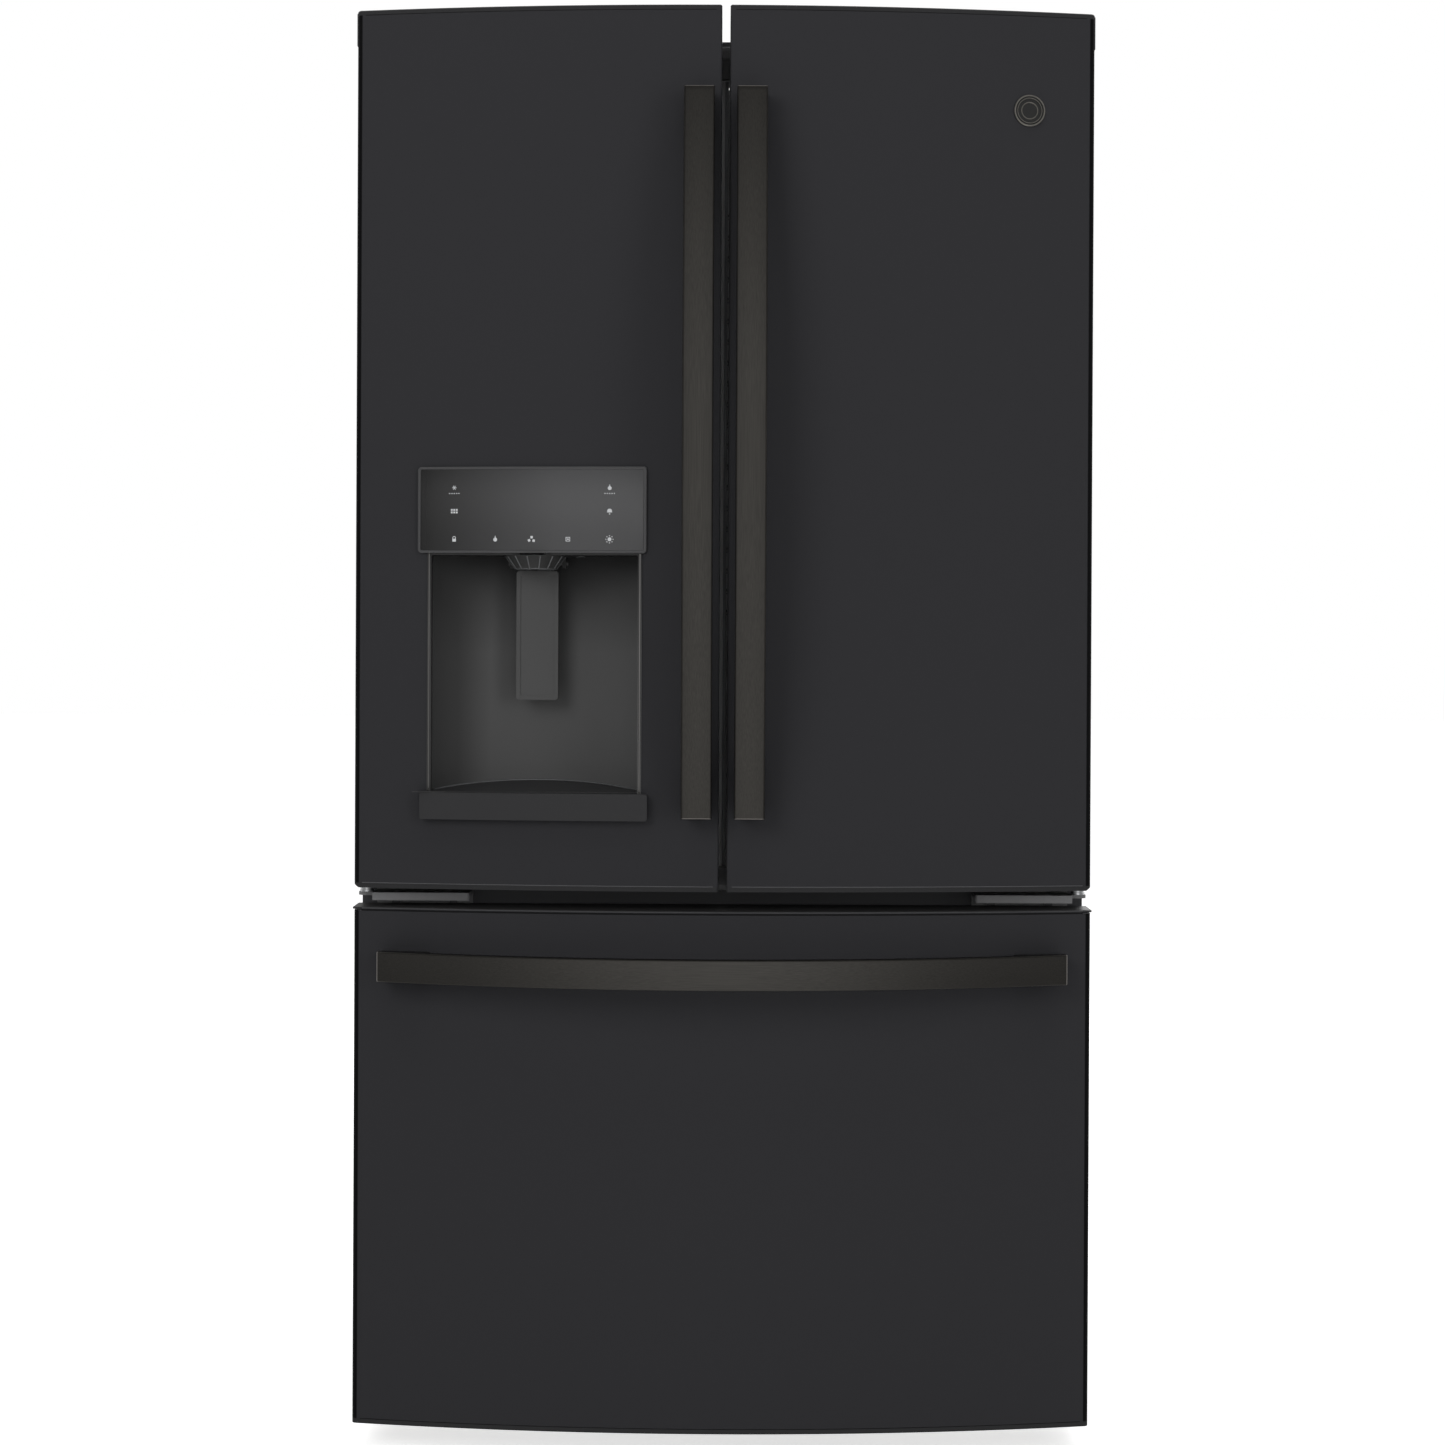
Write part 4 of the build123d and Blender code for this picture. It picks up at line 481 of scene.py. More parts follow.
grain_effect, drift_effect, dust_effect = grain_group(), drift_group(), dust_group()
print("shared effects", [group.name for group in bpy.data.node_groups])

# %% [markdown]
# ## A finish
#
# One helper wires the effects into a material: the grain mixes two near colours and drives a
# bump, the slow drift moves colour and roughness a little, dust lightens what looks up.  A
# finish is then a short call with a maker's values.  Numbers that are the same everywhere, such
# as metallic, coat or the refractive index, are set straight on the shader.

# %% Colours
def linear(value):
    """How much light a paint value on a 0 to 255 scale gives back."""
    share = value / 255
    return share / 12.92 if share <= 0.04045 else ((share + 0.055) / 1.055) ** 2.4


def shade(values):
    """A colour from three values on a 0 to 255 scale, as paint makers give it."""
    return tuple(linear(value) for value in values)


def colour_mix(tree, factor, first, second):
    """The socket of a mix of two colours or colour sockets."""
    first, second = ((*c, 1.0) if isinstance(c, tuple) else c for c in (first, second))
    inputs = {"Factor": factor, 6: first, 7: second}
    return wire(tree, "Mix", inputs, data_type="RGBA").outputs[2]


print("middle grey is", [round(v, 3) for v in shade((128, 128, 128))])


# %% Build a finish from the effects
DUST_COLOUR = (0.42, 0.40, 0.37)
DUST_FINENESS = 60.0
DRIFT_BRIGHTENS = 2.2


def start_finish(name, fineness, contrast, drift, stretch=(1.0, 1.0, 1.0)):
    """An empty material with its shader, and the grain and the drift placed in it."""
    material = bpy.data.materials.new(name)
    material.use_nodes = True
    tree = material.node_tree
    placed_groups = []
    for group, values in (
        (grain_effect, {"Stretch": stretch, "Fineness": fineness, "Contrast": contrast}),
        (drift_effect, {"Size": drift, "Contrast": 1.0}),
    ):
        placed_groups.append(wire(tree, "Group", values, node_tree=group).outputs[0])
    return material, tree, tree.nodes["Principled BSDF"].inputs, *placed_groups


def surface(tree, shader, colour, rough, grain, slow, relief, depth):
    """Colour, roughness that follows the drift, and a bump that follows the grain."""
    tree.links.new(colour, shader["Base Color"])
    tree.links.new(ramp(tree, slow, 0.0, 1.0, *rough), shader["Roughness"])
    if relief > 0:
        inputs = {"Strength": relief, "Distance": depth, "Height": grain}
        tree.links.new(wire(tree, "Bump", inputs).outputs["Normal"], shader["Normal"])


def new_finish(
    name,
    dark,
    light,
    rough=(0.4, 0.5),
    stretch=(1.0, 1.0, 1.0),
    fineness=400.0,
    contrast=1.0,
    relief=0.1,
    depth=0.0002,
    drift=3.0,
    drift_colour=0.06,
    dust=0.0,
    metallic=0.0,
    specular=0.5,
    coat=0.0,
    coat_rough=0.1,
):
    """A material whose grain, drift and dust come from the shared effects."""
    dark, light = shade(dark), shade(light)
    worn = tuple(min(1.0, DRIFT_BRIGHTENS * v) for v in light)
    material, tree, shader, grain, slow = start_finish(name, fineness, contrast, drift, stretch)
    colour = colour_mix(tree, grain, dark, light)
    colour = colour_mix(tree, sums(tree, "MULTIPLY", slow, drift_colour), colour, worn)
    if dust > 0:
        inputs = {"Amount": dust, "Fineness": DUST_FINENESS}
        layer = wire(tree, "Group", inputs, node_tree=dust_effect).outputs["Dust"]
        colour = colour_mix(tree, layer, colour, DUST_COLOUR)
    surface(tree, shader, colour, rough, grain, slow, relief, depth)
    shader["Metallic"].default_value = metallic
    shader["Specular IOR Level"].default_value = specular
    shader["Coat Weight"].default_value = coat
    shader["Coat Roughness"].default_value = coat_rough
    return material


def part_colour(material, axis, low, high, colour, mirror=False):
    """Another colour between two places on an axis: a masked coat, or painted light and shade."""
    tree = material.node_tree
    base = tree.nodes["Principled BSDF"].inputs["Base Color"]
    before = base.links[0].from_socket
    place = wire(tree, "TexCoord").outputs["Object"]
    value = wire(tree, "SeparateXYZ", {0: place}).outputs[axis]
    if mirror:
        value = sums(tree, "ABSOLUTE", value)
    mask = ramp(tree, value, low, high)
    tree.links.new(colour_mix(tree, mask, before, shade(colour)), base)


print("a finish takes", new_finish.__code__.co_argcount, "values")

# %% [markdown]
# ## Paint and metal of the front
#
# The door sheets have a slate coating: nearly black, satin, with metal flakes so fine that only
# a soft sparkle shows.  The handles are the same colour in brushed metal, so they answer the
# lamps much more strongly, in streaks along their length.  The case sides have a plain,
# pebbled dark paint, and the front flange that hides behind the gaskets is a lighter grey.

# %% Front finishes
slate = new_finish(
    "slate_coating", (41, 41, 43), (45, 45, 47), rough=(0.50, 0.56), fineness=2600.0, relief=0.10,
    depth=0.00005, drift=1.5, drift_colour=0.008, specular=0.05,
)
# The doors' outer edges are painted near black: painted shade where the rounded sides turn from
# the light.
fold = (0.4472, 0.4482)
part_colour(slate, "X", *fold, (10, 10, 11), mirror=True)
case_paint = new_finish(
    "case_paint", (50, 50, 52), (60, 60, 62), rough=(0.50, 0.60), fineness=900.0, relief=0.35,
    depth=0.0002, drift=2.0, drift_colour=0.02, dust=0.10, specular=0.3,
)
front_flange_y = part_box("cabinet_shell")[0].y
flange = (front_flange_y + 0.003, front_flange_y + 0.002)
part_colour(case_paint, "Y", *flange, (50, 50, 52))
bronze_upright = new_finish(
    "brushed_bronze_upright", (54, 53, 51), (72, 70, 67), rough=(0.34, 0.40),
    stretch=(60.0, 60.0, 0.6), fineness=22.0, contrast=1.5, relief=0.10, depth=0.00006,
    drift_colour=0.02, metallic=1.0,
)
# Level copy, painted lighter than the upright one as painted light; its streaks run along X.
bronze_level = new_finish(
    "brushed_bronze_level", (59, 58, 56), (77, 75, 72), rough=(0.34, 0.40),
    stretch=(0.6, 60.0, 60.0), fineness=22.0, contrast=1.5, relief=0.10, depth=0.00006,
    drift_colour=0.02, metallic=1.0,
)
spun_metal = new_finish(
    "spun_dark_metal", (112, 110, 105), (136, 133, 127), rough=(0.30, 0.38), fineness=700.0,
    contrast=1.4, relief=0.08, depth=0.00005, metallic=1.0,
)
cap_plastic = new_finish(
    "end_cap_plastic", (34, 34, 35), (41, 41, 42), rough=(0.45, 0.55), fineness=1200.0,
    relief=0.25, depth=0.0001, dust=0.05, specular=0.12,
)
hinge_paint = new_finish(
    "hinge_grey", (97, 97, 98), (108, 108, 109), rough=(0.42, 0.52), fineness=1000.0, relief=0.25,
    depth=0.0001, dust=0.04, specular=0.2,
)
plating = {
    "rough": (0.26, 0.42), "fineness": 260.0, "contrast": 1.2, "depth": 0.0001,
    "drift": 14.0, "drift_colour": 0.05, "metallic": 1.0,
}
zinc = new_finish("zinc_plated", (168, 170, 172), (205, 206, 207), **plating)
pivot_zinc = new_finish("zinc_plated_pivots", (168, 170, 172), (205, 206, 207), **plating)
below_doors = (0.6860, 0.6855)
part_colour(pivot_zinc, "Z", *below_doors, (66, 66, 67))
print("front finishes", slate.name, bronze_upright.name, hinge_paint.name)

# %% [markdown]
# ## Dispenser and panel
#
# The recess is moulded in a satin dark grey, darkened towards its left wall and its top as
# painted shade; the drip tray's sill is that grey painted darker, painted shade as well.  The
# control panel is a smoked, glossy plate: black below, a clear coat above; the soft gradient
# across it, darker to the left, is a painted reflection in its colour.

# %% Dispenser finishes
dispenser_grey = new_finish(
    "dispenser_grey", (69, 69, 69), (75, 75, 75), rough=(0.36, 0.44), fineness=1400.0, relief=0.12,
    depth=0.00008, drift_colour=0.01, specular=0.12,
)
# The recess darkens towards its left wall and its top: painted shade.
left_wall, under_ceiling = (-0.290, -0.330), (0.985, 1.105)
part_colour(dispenser_grey, "X", *left_wall, (56, 56, 56))
part_colour(dispenser_grey, "Z", *under_ceiling, (45, 45, 45))
# The sill is the recess grey painted darker: painted shade for the stronger light on its front.
sill_grey = new_finish(
    "sill_grey", (43, 43, 44), (48, 48, 49), rough=(0.40, 0.50), fineness=1400.0, relief=0.12,
    depth=0.00008, drift_colour=0.01, specular=0.10,
)
paddle_grey = new_finish(
    "paddle_grey", (62, 62, 62), (69, 69, 69), rough=(0.32, 0.42), fineness=1400.0, relief=0.12,
    depth=0.00008, drift_colour=0.01, specular=0.18,
)
smoked = new_finish(
    "smoked_gloss", (57, 57, 58), (62, 62, 63), rough=(0.20, 0.26), fineness=900.0, relief=0.0,
    drift_colour=0.01, specular=0.3, coat=0.2, coat_rough=0.10,
)
# The plate darkens towards its left end: a painted reflection gradient.
left_of_panel = (-0.205, -0.365)
part_colour(smoked, "X", *left_of_panel, (27, 27, 27))
trim_metal = new_finish(
    "bright_trim", (94, 93, 92), (114, 113, 112), rough=(0.25, 0.33), stretch=(60.0, 60.0, 0.6),
    fineness=22.0, relief=0.06, depth=0.00005, metallic=1.0,
)
print("dispenser finishes", dispenser_grey.name, smoked.name)

# %% [markdown]
# ## Inside
#
# Liners and door insides are drawn down from white sheet: satin, very slightly wavy, with a
# faint orange peel.  The insulation only shows where a sheet is missing, as honey-coloured
# foam.  Gaskets are soft grey vinyl.

# %% Inside finishes
liner_white = new_finish(
    "liner_white", (226, 229, 232), (234, 236, 238), rough=(0.30, 0.42), fineness=340.0,
    relief=0.10, depth=0.00025, drift=2.5, drift_colour=0.0, specular=0.4,
)
foam = new_finish(
    "insulating_foam", (206, 186, 130), (232, 214, 164), rough=(0.85, 0.95), fineness=520.0,
    contrast=2.0, relief=0.5, depth=0.0006, drift_colour=0.05, specular=0.1,
)
vinyl = new_finish(
    "gasket_vinyl", (112, 113, 115), (124, 125, 127), rough=(0.48, 0.60), fineness=500.0,
    relief=0.2, depth=0.0002, dust=0.08, specular=0.35,
)
white_plastic = new_finish(
    "white_plastic", (222, 224, 226), (232, 233, 234), rough=(0.34, 0.44), fineness=800.0,
    relief=0.15, depth=0.0001, drift_colour=0.0, specular=0.4,
)
white_wire = new_finish(
    "white_coated_wire", (214, 215, 215), (228, 228, 228), rough=(0.38, 0.48), fineness=500.0,
    relief=0.15, depth=0.0002, drift_colour=0.0, specular=0.4,
)
slide_steel = new_finish(
    "slide_steel", (160, 162, 165), (188, 190, 192), rough=(0.28, 0.40), stretch=(40.0, 0.8, 40.0),
    fineness=20.0, contrast=1.4, relief=0.08, depth=0.0001, metallic=1.0,
)
print("inside finishes", liner_white.name, foam.name, vinyl.name)

# %% [markdown]
# ## Clear plastic and glass
#
# Bins, crispers and the ice bucket are clear styrene.  Real glass shading makes a crowded
# interior black and noisy, and it hides the dark pattern of many walls behind each other, so the
# plastic is a thin, see-through sheet instead: mostly transparent, a little milky, glossy, and
# stronger at grazing angles, where the eye meets its edges.

# %% See-through finishes
def see_through(name, tint, clear_share, edge_share, rough=(0.05, 0.10)):
    """A thin clear sheet that gets denser where it is seen edge-on."""
    tint = shade(tint)
    pale = tuple(min(1.0, v * 1.06) for v in tint)
    material, tree, shader, grain, slow = start_finish(name, 300.0, 0.8, 4.0)
    colour = colour_mix(tree, slow, tint, pale)
    surface(tree, shader, colour, rough, grain, slow, 0.05, 0.0001)
    edge_on = wire(tree, "LayerWeight", {"Blend": 0.35}).outputs["Facing"]
    tree.links.new(ramp(tree, edge_on, 0.0, 1.0, clear_share, edge_share), shader["Alpha"])
    shader["IOR"].default_value = 1.5
    return material


clear_plastic = see_through("clear_styrene", (226, 232, 235), 0.22, 0.62)
shelf_pane = see_through("tempered_glass", (196, 222, 214), 0.20, 0.75, rough=(0.02, 0.05))
print("see-through", clear_plastic.name, shelf_pane.name)

# %% [markdown]
# ## Underneath and behind
#
# Nobody polishes the back: galvanised sheet with its spangle, black moulded grilles with a bit
# of dust, a gloss black compressor, painted condenser fins and nylon rollers.

# %% Finishes of the back and the base
galvanised = new_finish(
    "galvanised_sheet", (142, 145, 148), (178, 180, 182), rough=(0.36, 0.50), fineness=60.0,
    contrast=2.2, relief=0.05, depth=0.0001, drift=5.0, drift_colour=0.03, dust=0.10, metallic=0.9,
)
black_plastic = new_finish(
    "black_plastic", (26, 26, 27), (34, 34, 35), rough=(0.45, 0.58), fineness=900.0, relief=0.3,
    depth=0.00015, dust=0.25, specular=0.35,
)
mullion_grey = new_finish(
    "mullion_grey", (176, 176, 178), (186, 186, 188), rough=(0.45, 0.55), fineness=1100.0,
    relief=0.2, depth=0.0001, specular=0.25,
)
pot_black = new_finish(
    "compressor_black", (20, 20, 21), (28, 28, 29), rough=(0.22, 0.34), fineness=220.0, relief=0.2,
    depth=0.0003, dust=0.30, specular=0.5,
)
condenser_paint = new_finish(
    "condenser_paint", (70, 72, 74), (92, 94, 96), rough=(0.35, 0.50), fineness=300.0, relief=0.15,
    depth=0.0002, dust=0.35, metallic=0.6,
)
valve_plastic = new_finish(
    "valve_plastic", (196, 196, 190), (212, 212, 206), rough=(0.40, 0.52), fineness=700.0,
    relief=0.2, depth=0.0002, dust=0.15,
)
nylon = new_finish(
    "nylon", (206, 202, 190), (222, 218, 206), rough=(0.42, 0.55), fineness=600.0, relief=0.2,
    depth=0.0002, dust=0.2,
)
print("finishes in all", len(bpy.data.materials))

# %% [markdown]
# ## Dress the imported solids
#
# A solid whose shape is right stays and only gets its finish.  The list goes body by body, as
# the appliance is assembled, and a check at the end makes sure that none was forgotten.

# %% Assign a finish to each solid
dressing = {
    case_paint: ["cabinet_shell"],
    foam: ["cabinet_foam"],
    liner_white: [
        "fridge_liner",
        "freezer_liner",
        "left_door_core",
        "right_door_core",
        "drawer_core",
        "air_tower",
    ],
    galvanised: ["back_panel", "machine_cover"],
    zinc: ["base_pan", "fan_mount", "levelling_leg_left", "levelling_leg_right"],
    pivot_zinc: ["hinge_hardware"],
    black_plastic: ["base_grille", "cord_gland", "condenser_fan"],
    mullion_grey: ["mullion"],
    pot_black: ["compressor"],
    condenser_paint: ["condenser"],
    valve_plastic: ["water_valve"],
    hinge_paint: ["door_hinges"],
    cap_plastic: ["hinge_covers", "left_door_caps", "right_door_caps", "drawer_caps"],
    slide_steel: ["shelf_tracks", "rails_fixed", "rails_middle", "rails_moving"],
    white_plastic: ["shelf_frames", "ice_box", "ice_box_lid"],
    shelf_pane: ["shelf_glass"],
    slate: ["left_door_skin", "right_door_skin", "drawer_skin"],
    vinyl: ["left_door_gasket", "right_door_gasket", "drawer_gasket"],
    clear_plastic: [
        "left_door_bins",
        "right_door_bins",
        "ice_bucket",
        "freezer_bin",
        "crisper_left",
        "crisper_right",
    ],
    dispenser_grey: ["dispenser_housing"],
    sill_grey: ["drip_tray"],
    paddle_grey: ["dispenser_paddle"],
    smoked: ["control_panel"],
    bronze_upright: ["left_handle", "right_handle"],
    bronze_level: ["drawer_handle"],
    spun_metal: ["badge"],
    white_wire: ["freezer_basket"],
    nylon: ["front_roller_left", "front_roller_right", "rear_roller_left", "rear_roller_right"],
}
dressed = set()
for finish, names in dressing.items():
    for name in names:
        solid = nodes[name]
        solid.data.materials.clear()
        solid.data.materials.append(finish)
        dressed.add(name)
print("dressed", len(dressed), "of", len(nodes), "left", sorted(set(nodes) - dressed))

# %% [markdown]
# ## Finishes of the small parts
#
# Frames, hairlines, prints and lenses are small, but they carry the drawing of the front: a hem
# a millimetre high, painted lighter as a highlight, is what separates a door from its shadow.

# %% Small finishes
trim_dark = new_finish(
    "panel_frame", (54, 54, 55), (62, 62, 63), rough=(0.28, 0.36), fineness=1200.0, relief=0.05,
    depth=0.00004, drift_colour=0.01, specular=0.35,
)
mark_paint = new_finish(
    "printed_marks", (168, 170, 172), (190, 192, 194), rough=(0.50, 0.60), fineness=2400.0,
    relief=0.05, depth=0.00003, specular=0.3,
)
smoke_plastic = new_finish(
    "smoke_plastic", (66, 67, 68), (82, 83, 84), rough=(0.20, 0.30), fineness=600.0, relief=0.08,
    depth=0.00006, drift_colour=0.02, specular=0.5,
)
# The door's lower hem, painted lighter than the slate: a painted highlight.
hem_metal = new_finish(
    "folded_hem", (58, 58, 60), (68, 68, 70), rough=(0.30, 0.42), stretch=(0.4, 30.0, 30.0),
    fineness=60.0, relief=0.05, depth=0.00004, drift_colour=0.04, specular=0.5,
)
# Dark joints, and dark plates painted as shade in slots, recesses and under the drawer cap.
dark_joint = new_finish(
    "dark_joint", (12, 12, 13), (20, 20, 21), rough=(0.55, 0.70), fineness=1500.0, relief=0.2,
    depth=0.00008, specular=0.1,
)
drip_dark = new_finish(
    "drip_insert_grey", (34, 34, 35), (40, 40, 41), rough=(0.35, 0.45), fineness=1200.0,
    relief=0.1, depth=0.00006, specular=0.3,
)
# The front edge of the drawer's cap, painted lighter than the cap: a painted highlight.
cap_edge = new_finish(
    "cap_front_edge", (50, 50, 52), (60, 60, 62), rough=(0.40, 0.50), fineness=1400.0, relief=0.1,
    depth=0.00006, specular=0.2,
)
satin_strip = new_finish(
    "satin_strip", (150, 151, 153), (178, 179, 181), rough=(0.30, 0.40), stretch=(0.5, 60.0, 60.0),
    fineness=26.0, contrast=1.3, relief=0.08, depth=0.00005, drift_colour=0.02, metallic=1.0,
)
liner_white_gloss = new_finish(
    "small_white_parts", (214, 217, 219), (228, 230, 231), rough=(0.22, 0.34), fineness=700.0,
    relief=0.08, depth=0.00008, drift_colour=0.0, specular=0.5,
)
trim_grey = new_finish(
    "inner_grey_parts", (148, 151, 154), (166, 169, 171), rough=(0.34, 0.46), fineness=900.0,
    relief=0.15, depth=0.0001, drift_colour=0.01, specular=0.4,
)
lamp_glow = new_finish(
    "lamp_glow", (228, 231, 230), (238, 240, 239), rough=(0.30, 0.40), fineness=500.0, relief=0.10,
    depth=0.0001, drift_colour=0.0, specular=0.4,
)
glow = lamp_glow.node_tree.nodes["Principled BSDF"]
glow.inputs["Emission Color"].default_value = (1.0, 0.98, 0.94, 1.0)
glow.inputs["Emission Strength"].default_value = 1.6
label_paper = new_finish(
    "label_paper", (206, 206, 202), (220, 220, 216), rough=(0.50, 0.62), fineness=1800.0,
    relief=0.10, depth=0.00004, drift_colour=0.01, specular=0.3,
)
# The bars' end chamfers, in a lighter metal: a painted highlight.
bronze_edge = new_finish(
    "bright_bar_ends", (120, 116, 112), (140, 136, 132), rough=(0.30, 0.40), fineness=300.0,
    contrast=1.2, relief=0.05, depth=0.00004, drift_colour=0.02, metallic=1.0,
)
enamel = new_finish(
    "badge_field", (24, 24, 24), (29, 29, 28), rough=(0.35, 0.45), fineness=1500.0, relief=0.1,
    depth=0.00005, specular=0.3,
)
print("small finishes", trim_dark.name, hem_metal.name, enamel.name)

# %% [markdown]
# ## The bowed front as a ruler
#
# All that lies on the doors follows one wide arc.  A flat piece could be bent with a Simple
# Deform modifier, but that needs its own origin and angle each time.  It is quicker to model the
# piece flat, with Y as its distance from the door, slice it upright, and lay every point on the
# arc.  The arc's radius and centre are the ones that the solids were made with.

# %% Follow the bow
BOW_RADIUS = 2.596452
BOW_CENTRE = 2.208952


def front_at(x, proud=0.0):
    """Y of the door's surface at X, or of a surface that stands proud of it."""
    return BOW_CENTRE - sqrt((BOW_RADIUS + proud) ** 2 - x * x)


def bent(piece, step=0.02):
    """Slice a flat piece upright and lay it on the bow."""
    xs = [point.co.x for point in piece.data.vertices]
    count = int((max(xs) - min(xs)) / step)
    pick(piece, kind="VERT")
    for i in range(1, count + 1):
        cut = min(xs) + (max(xs) - min(xs)) * i / (count + 1)
        bpy.ops.mesh.select_all(action="SELECT")
        bpy.ops.mesh.bisect(plane_co=(cut, 0, 0), plane_no=(1, 0, 0))
    clear()
    for point in piece.data.vertices:
        x, y, z = point.co
        reach = BOW_RADIUS - y
        point.co = (x * reach / BOW_RADIUS, BOW_CENTRE - reach * cos(asin(x / BOW_RADIUS)), z)
    piece.data.update()
    return piece


print("the door's surface at X 0 and 0.4:", round(front_at(0), 4), round(front_at(0.4), 4))

# %% [markdown]
# ## Handles
#
# A handle is a flat steel bar, rolled to a wide bow and brushed along its length, with a cast
# foot under each end.  The bar could be a box bent by a modifier, but a spin is closer to how a
# bar is rolled: a rounded section is swept along the arc from the middle to one end, cut off
# square, and mirrored.  The feet are blocks whose rear face follows the door.

# %% Roll one bar along X
BAR_WIDE, BAR_THICK = 0.037, 0.012
BAR_CORNER, BAR_EDGE = 0.0022, 0.0011
END_CHAMFER, CHAMFER_LEAN = 0.0045, radians(25)


def rolled_bar(name, half, rise):
    """A bowed bar with its front at the origin in the middle."""
    radius = (half**2 + rise**2) / (2 * rise)
    bar = plane_piece(name, (0, BAR_THICK / 2, 0), (0, radians(90), 0), BAR_WIDE, BAR_THICK)
    pick(bar, kind="VERT")
    bpy.ops.mesh.bevel(offset=BAR_CORNER, segments=4, affect="VERTICES")
    bpy.ops.mesh.select_all(action="SELECT")
    bpy.ops.mesh.delete(type="ONLY_FACE")
    bpy.ops.mesh.select_all(action="SELECT")
    sweep = asin(half / radius) * 1.06
    bpy.ops.mesh.spin(steps=28, angle=sweep, center=(0, radius, 0), axis=(0, 0, 1))
    cut = half - END_CHAMFER
    lean = asin(half / radius) + CHAMFER_LEAN
    for place, outward in (
        ((half, 0, 0), (1, 0, 0)),
        ((-half, 0, 0), (-1, 0, 0)),
        ((cut, radius - sqrt(radius**2 - cut**2), 0), (sin(lean), -cos(lean), 0)),
    ):
        bpy.ops.mesh.select_all(action="SELECT")
        bpy.ops.mesh.bisect(plane_co=place, plane_no=outward, use_fill=True, clear_outer=True)
    take(bar)
    mirror = bar.modifiers.new("other half", "MIRROR")
    mirror.merge_threshold = 1e-5
    bpy.ops.object.modifier_apply(modifier=mirror.name)
    return rounded(closed(bar), BAR_EDGE, 3, 50)


print("a bar is", BAR_WIDE, "wide and", BAR_THICK, "thick")


# %% Feet, place and bright ends
FOOT_INNER, FOOT_OUTER, FOOT_WIDE = 0.062, 0.001, 0.031


def bar_foot(name, side, half, start, inner_back, outer_back):
    """A foot below one end of the bar; its rear face slopes with the door."""
    x0, x1 = sorted((side * (half - FOOT_INNER), side * (half - FOOT_OUTER)))
    foot = box_piece(name, (x0, start, -FOOT_WIDE / 2), (x1, inner_back, FOOT_WIDE / 2))
    pick(foot, lambda v: v.co.y > start + 0.001 and abs(v.co.x) > half - 0.01, "VERT")
    bpy.ops.transform.translate(value=(0, outer_back - inner_back, 0))
    clear()
    return rounded(foot, 0.0018, 3)


def placed(piece, place, turn=(0, 0, 0)):
    """Move a finished piece to its place and keep that place in its mesh."""
    take(piece)
    piece.location = place
    piece.rotation_euler = turn
    bpy.ops.object.transform_apply(location=True, rotation=True, scale=True)
    return piece


def bright_ends(handle, axis):
    """Give the chamfers at both ends of a bar a lighter metal finish: a painted highlight."""
    places = [point.co[axis] for point in handle.data.vertices]
    low, high = min(places), max(places)

    def on_chamfer(face):
        """A face that slopes to the front, within the chamfer's length of an end."""
        near = min(face.center[axis] - low, high - face.center[axis]) < END_CHAMFER + 0.0001
        return near and abs(face.normal[axis]) > 0.35 and face.normal.y < -0.3

    second_finish(handle, bronze_edge, on_chamfer)


print("a foot is", FOOT_INNER - FOOT_OUTER, "long")

# %% Two upright handles and one level one
HANDLE_X = 0.032
UPRIGHT_RISE, UPRIGHT_FOOT = 0.036, 0.0435
LEVEL_STAND_OFF = 0.037
CLEAR_OF_DOOR = 0.0002

low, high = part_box("left_handle")
upright_half = (high.z - low.z) / 2
upright_mid = (high.z + low.z) / 2
reach = front_at(HANDLE_X) - low.y - CLEAR_OF_DOOR
for name, body, x in (
    ("left_handle", "left_door", -HANDLE_X),
    ("right_handle", "right_door", HANDLE_X),
):
    bar = rolled_bar(name + "_bar", upright_half, UPRIGHT_RISE)
    feet = [
        bar_foot(name + "_foot", side, upright_half, UPRIGHT_FOOT, reach, reach)
        for side in (-1, 1)
    ]
    handle = joined(name + "_brushed", [bar] + feet)
    placed(handle, (x, low.y, upright_mid), (0, radians(90), 0))
    hand_over(handle, bronze_upright, body)
    bright_ends(handle, 2)
    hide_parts(name)

low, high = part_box("drawer_handle")
level_half = (high.x - low.x) / 2
level_rise = front_at(level_half) - LEVEL_STAND_OFF - low.y
bar = rolled_bar("drawer_handle_bar", level_half, level_rise)
inner_back = front_at(level_half - FOOT_INNER) - low.y - CLEAR_OF_DOOR
outer_back = front_at(level_half - FOOT_OUTER) - low.y - CLEAR_OF_DOOR
feet = [
    bar_foot("drawer_foot", side, level_half, level_rise + 0.004, inner_back, outer_back)
    for side in (-1, 1)
]
handle = joined("drawer_handle_brushed", [bar] + feet)
placed(handle, (0, low.y, (low.z + high.z) / 2))
hand_over(handle, bronze_level, "freezer_drawer")
bright_ends(handle, 0)
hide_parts("drawer_handle")

# %% [markdown]
# ## The round badge
#
# High on the right door sits a small turned metal disc, about as large as a coin.  It stays
# plain: three raised rings on a dark field.  A lathe would cut it ring by ring, and the same
# happens here with insets of the front face, each with its own depth.  The field between the
# rings gets a dark finish of its own.

# %% Turn the badge
BADGE_X, BADGE_Z, BADGE_RADIUS = 0.372, 1.653, 0.0194
FIELD_DEPTH = 0.0014
BADGE_STEPS = (
    (0.0005, 0.0003), (0.0013, 0.0), (0.0004, -0.0011), (0.0012, 0.0), (0.0004, 0.0009),
    (0.0007, 0.0), (0.0004, -0.0009), (0.0036, 0.0), (0.0004, 0.0005), (0.0008, 0.0),
    (0.0004, -0.0005), (0.0040, 0.0),
)

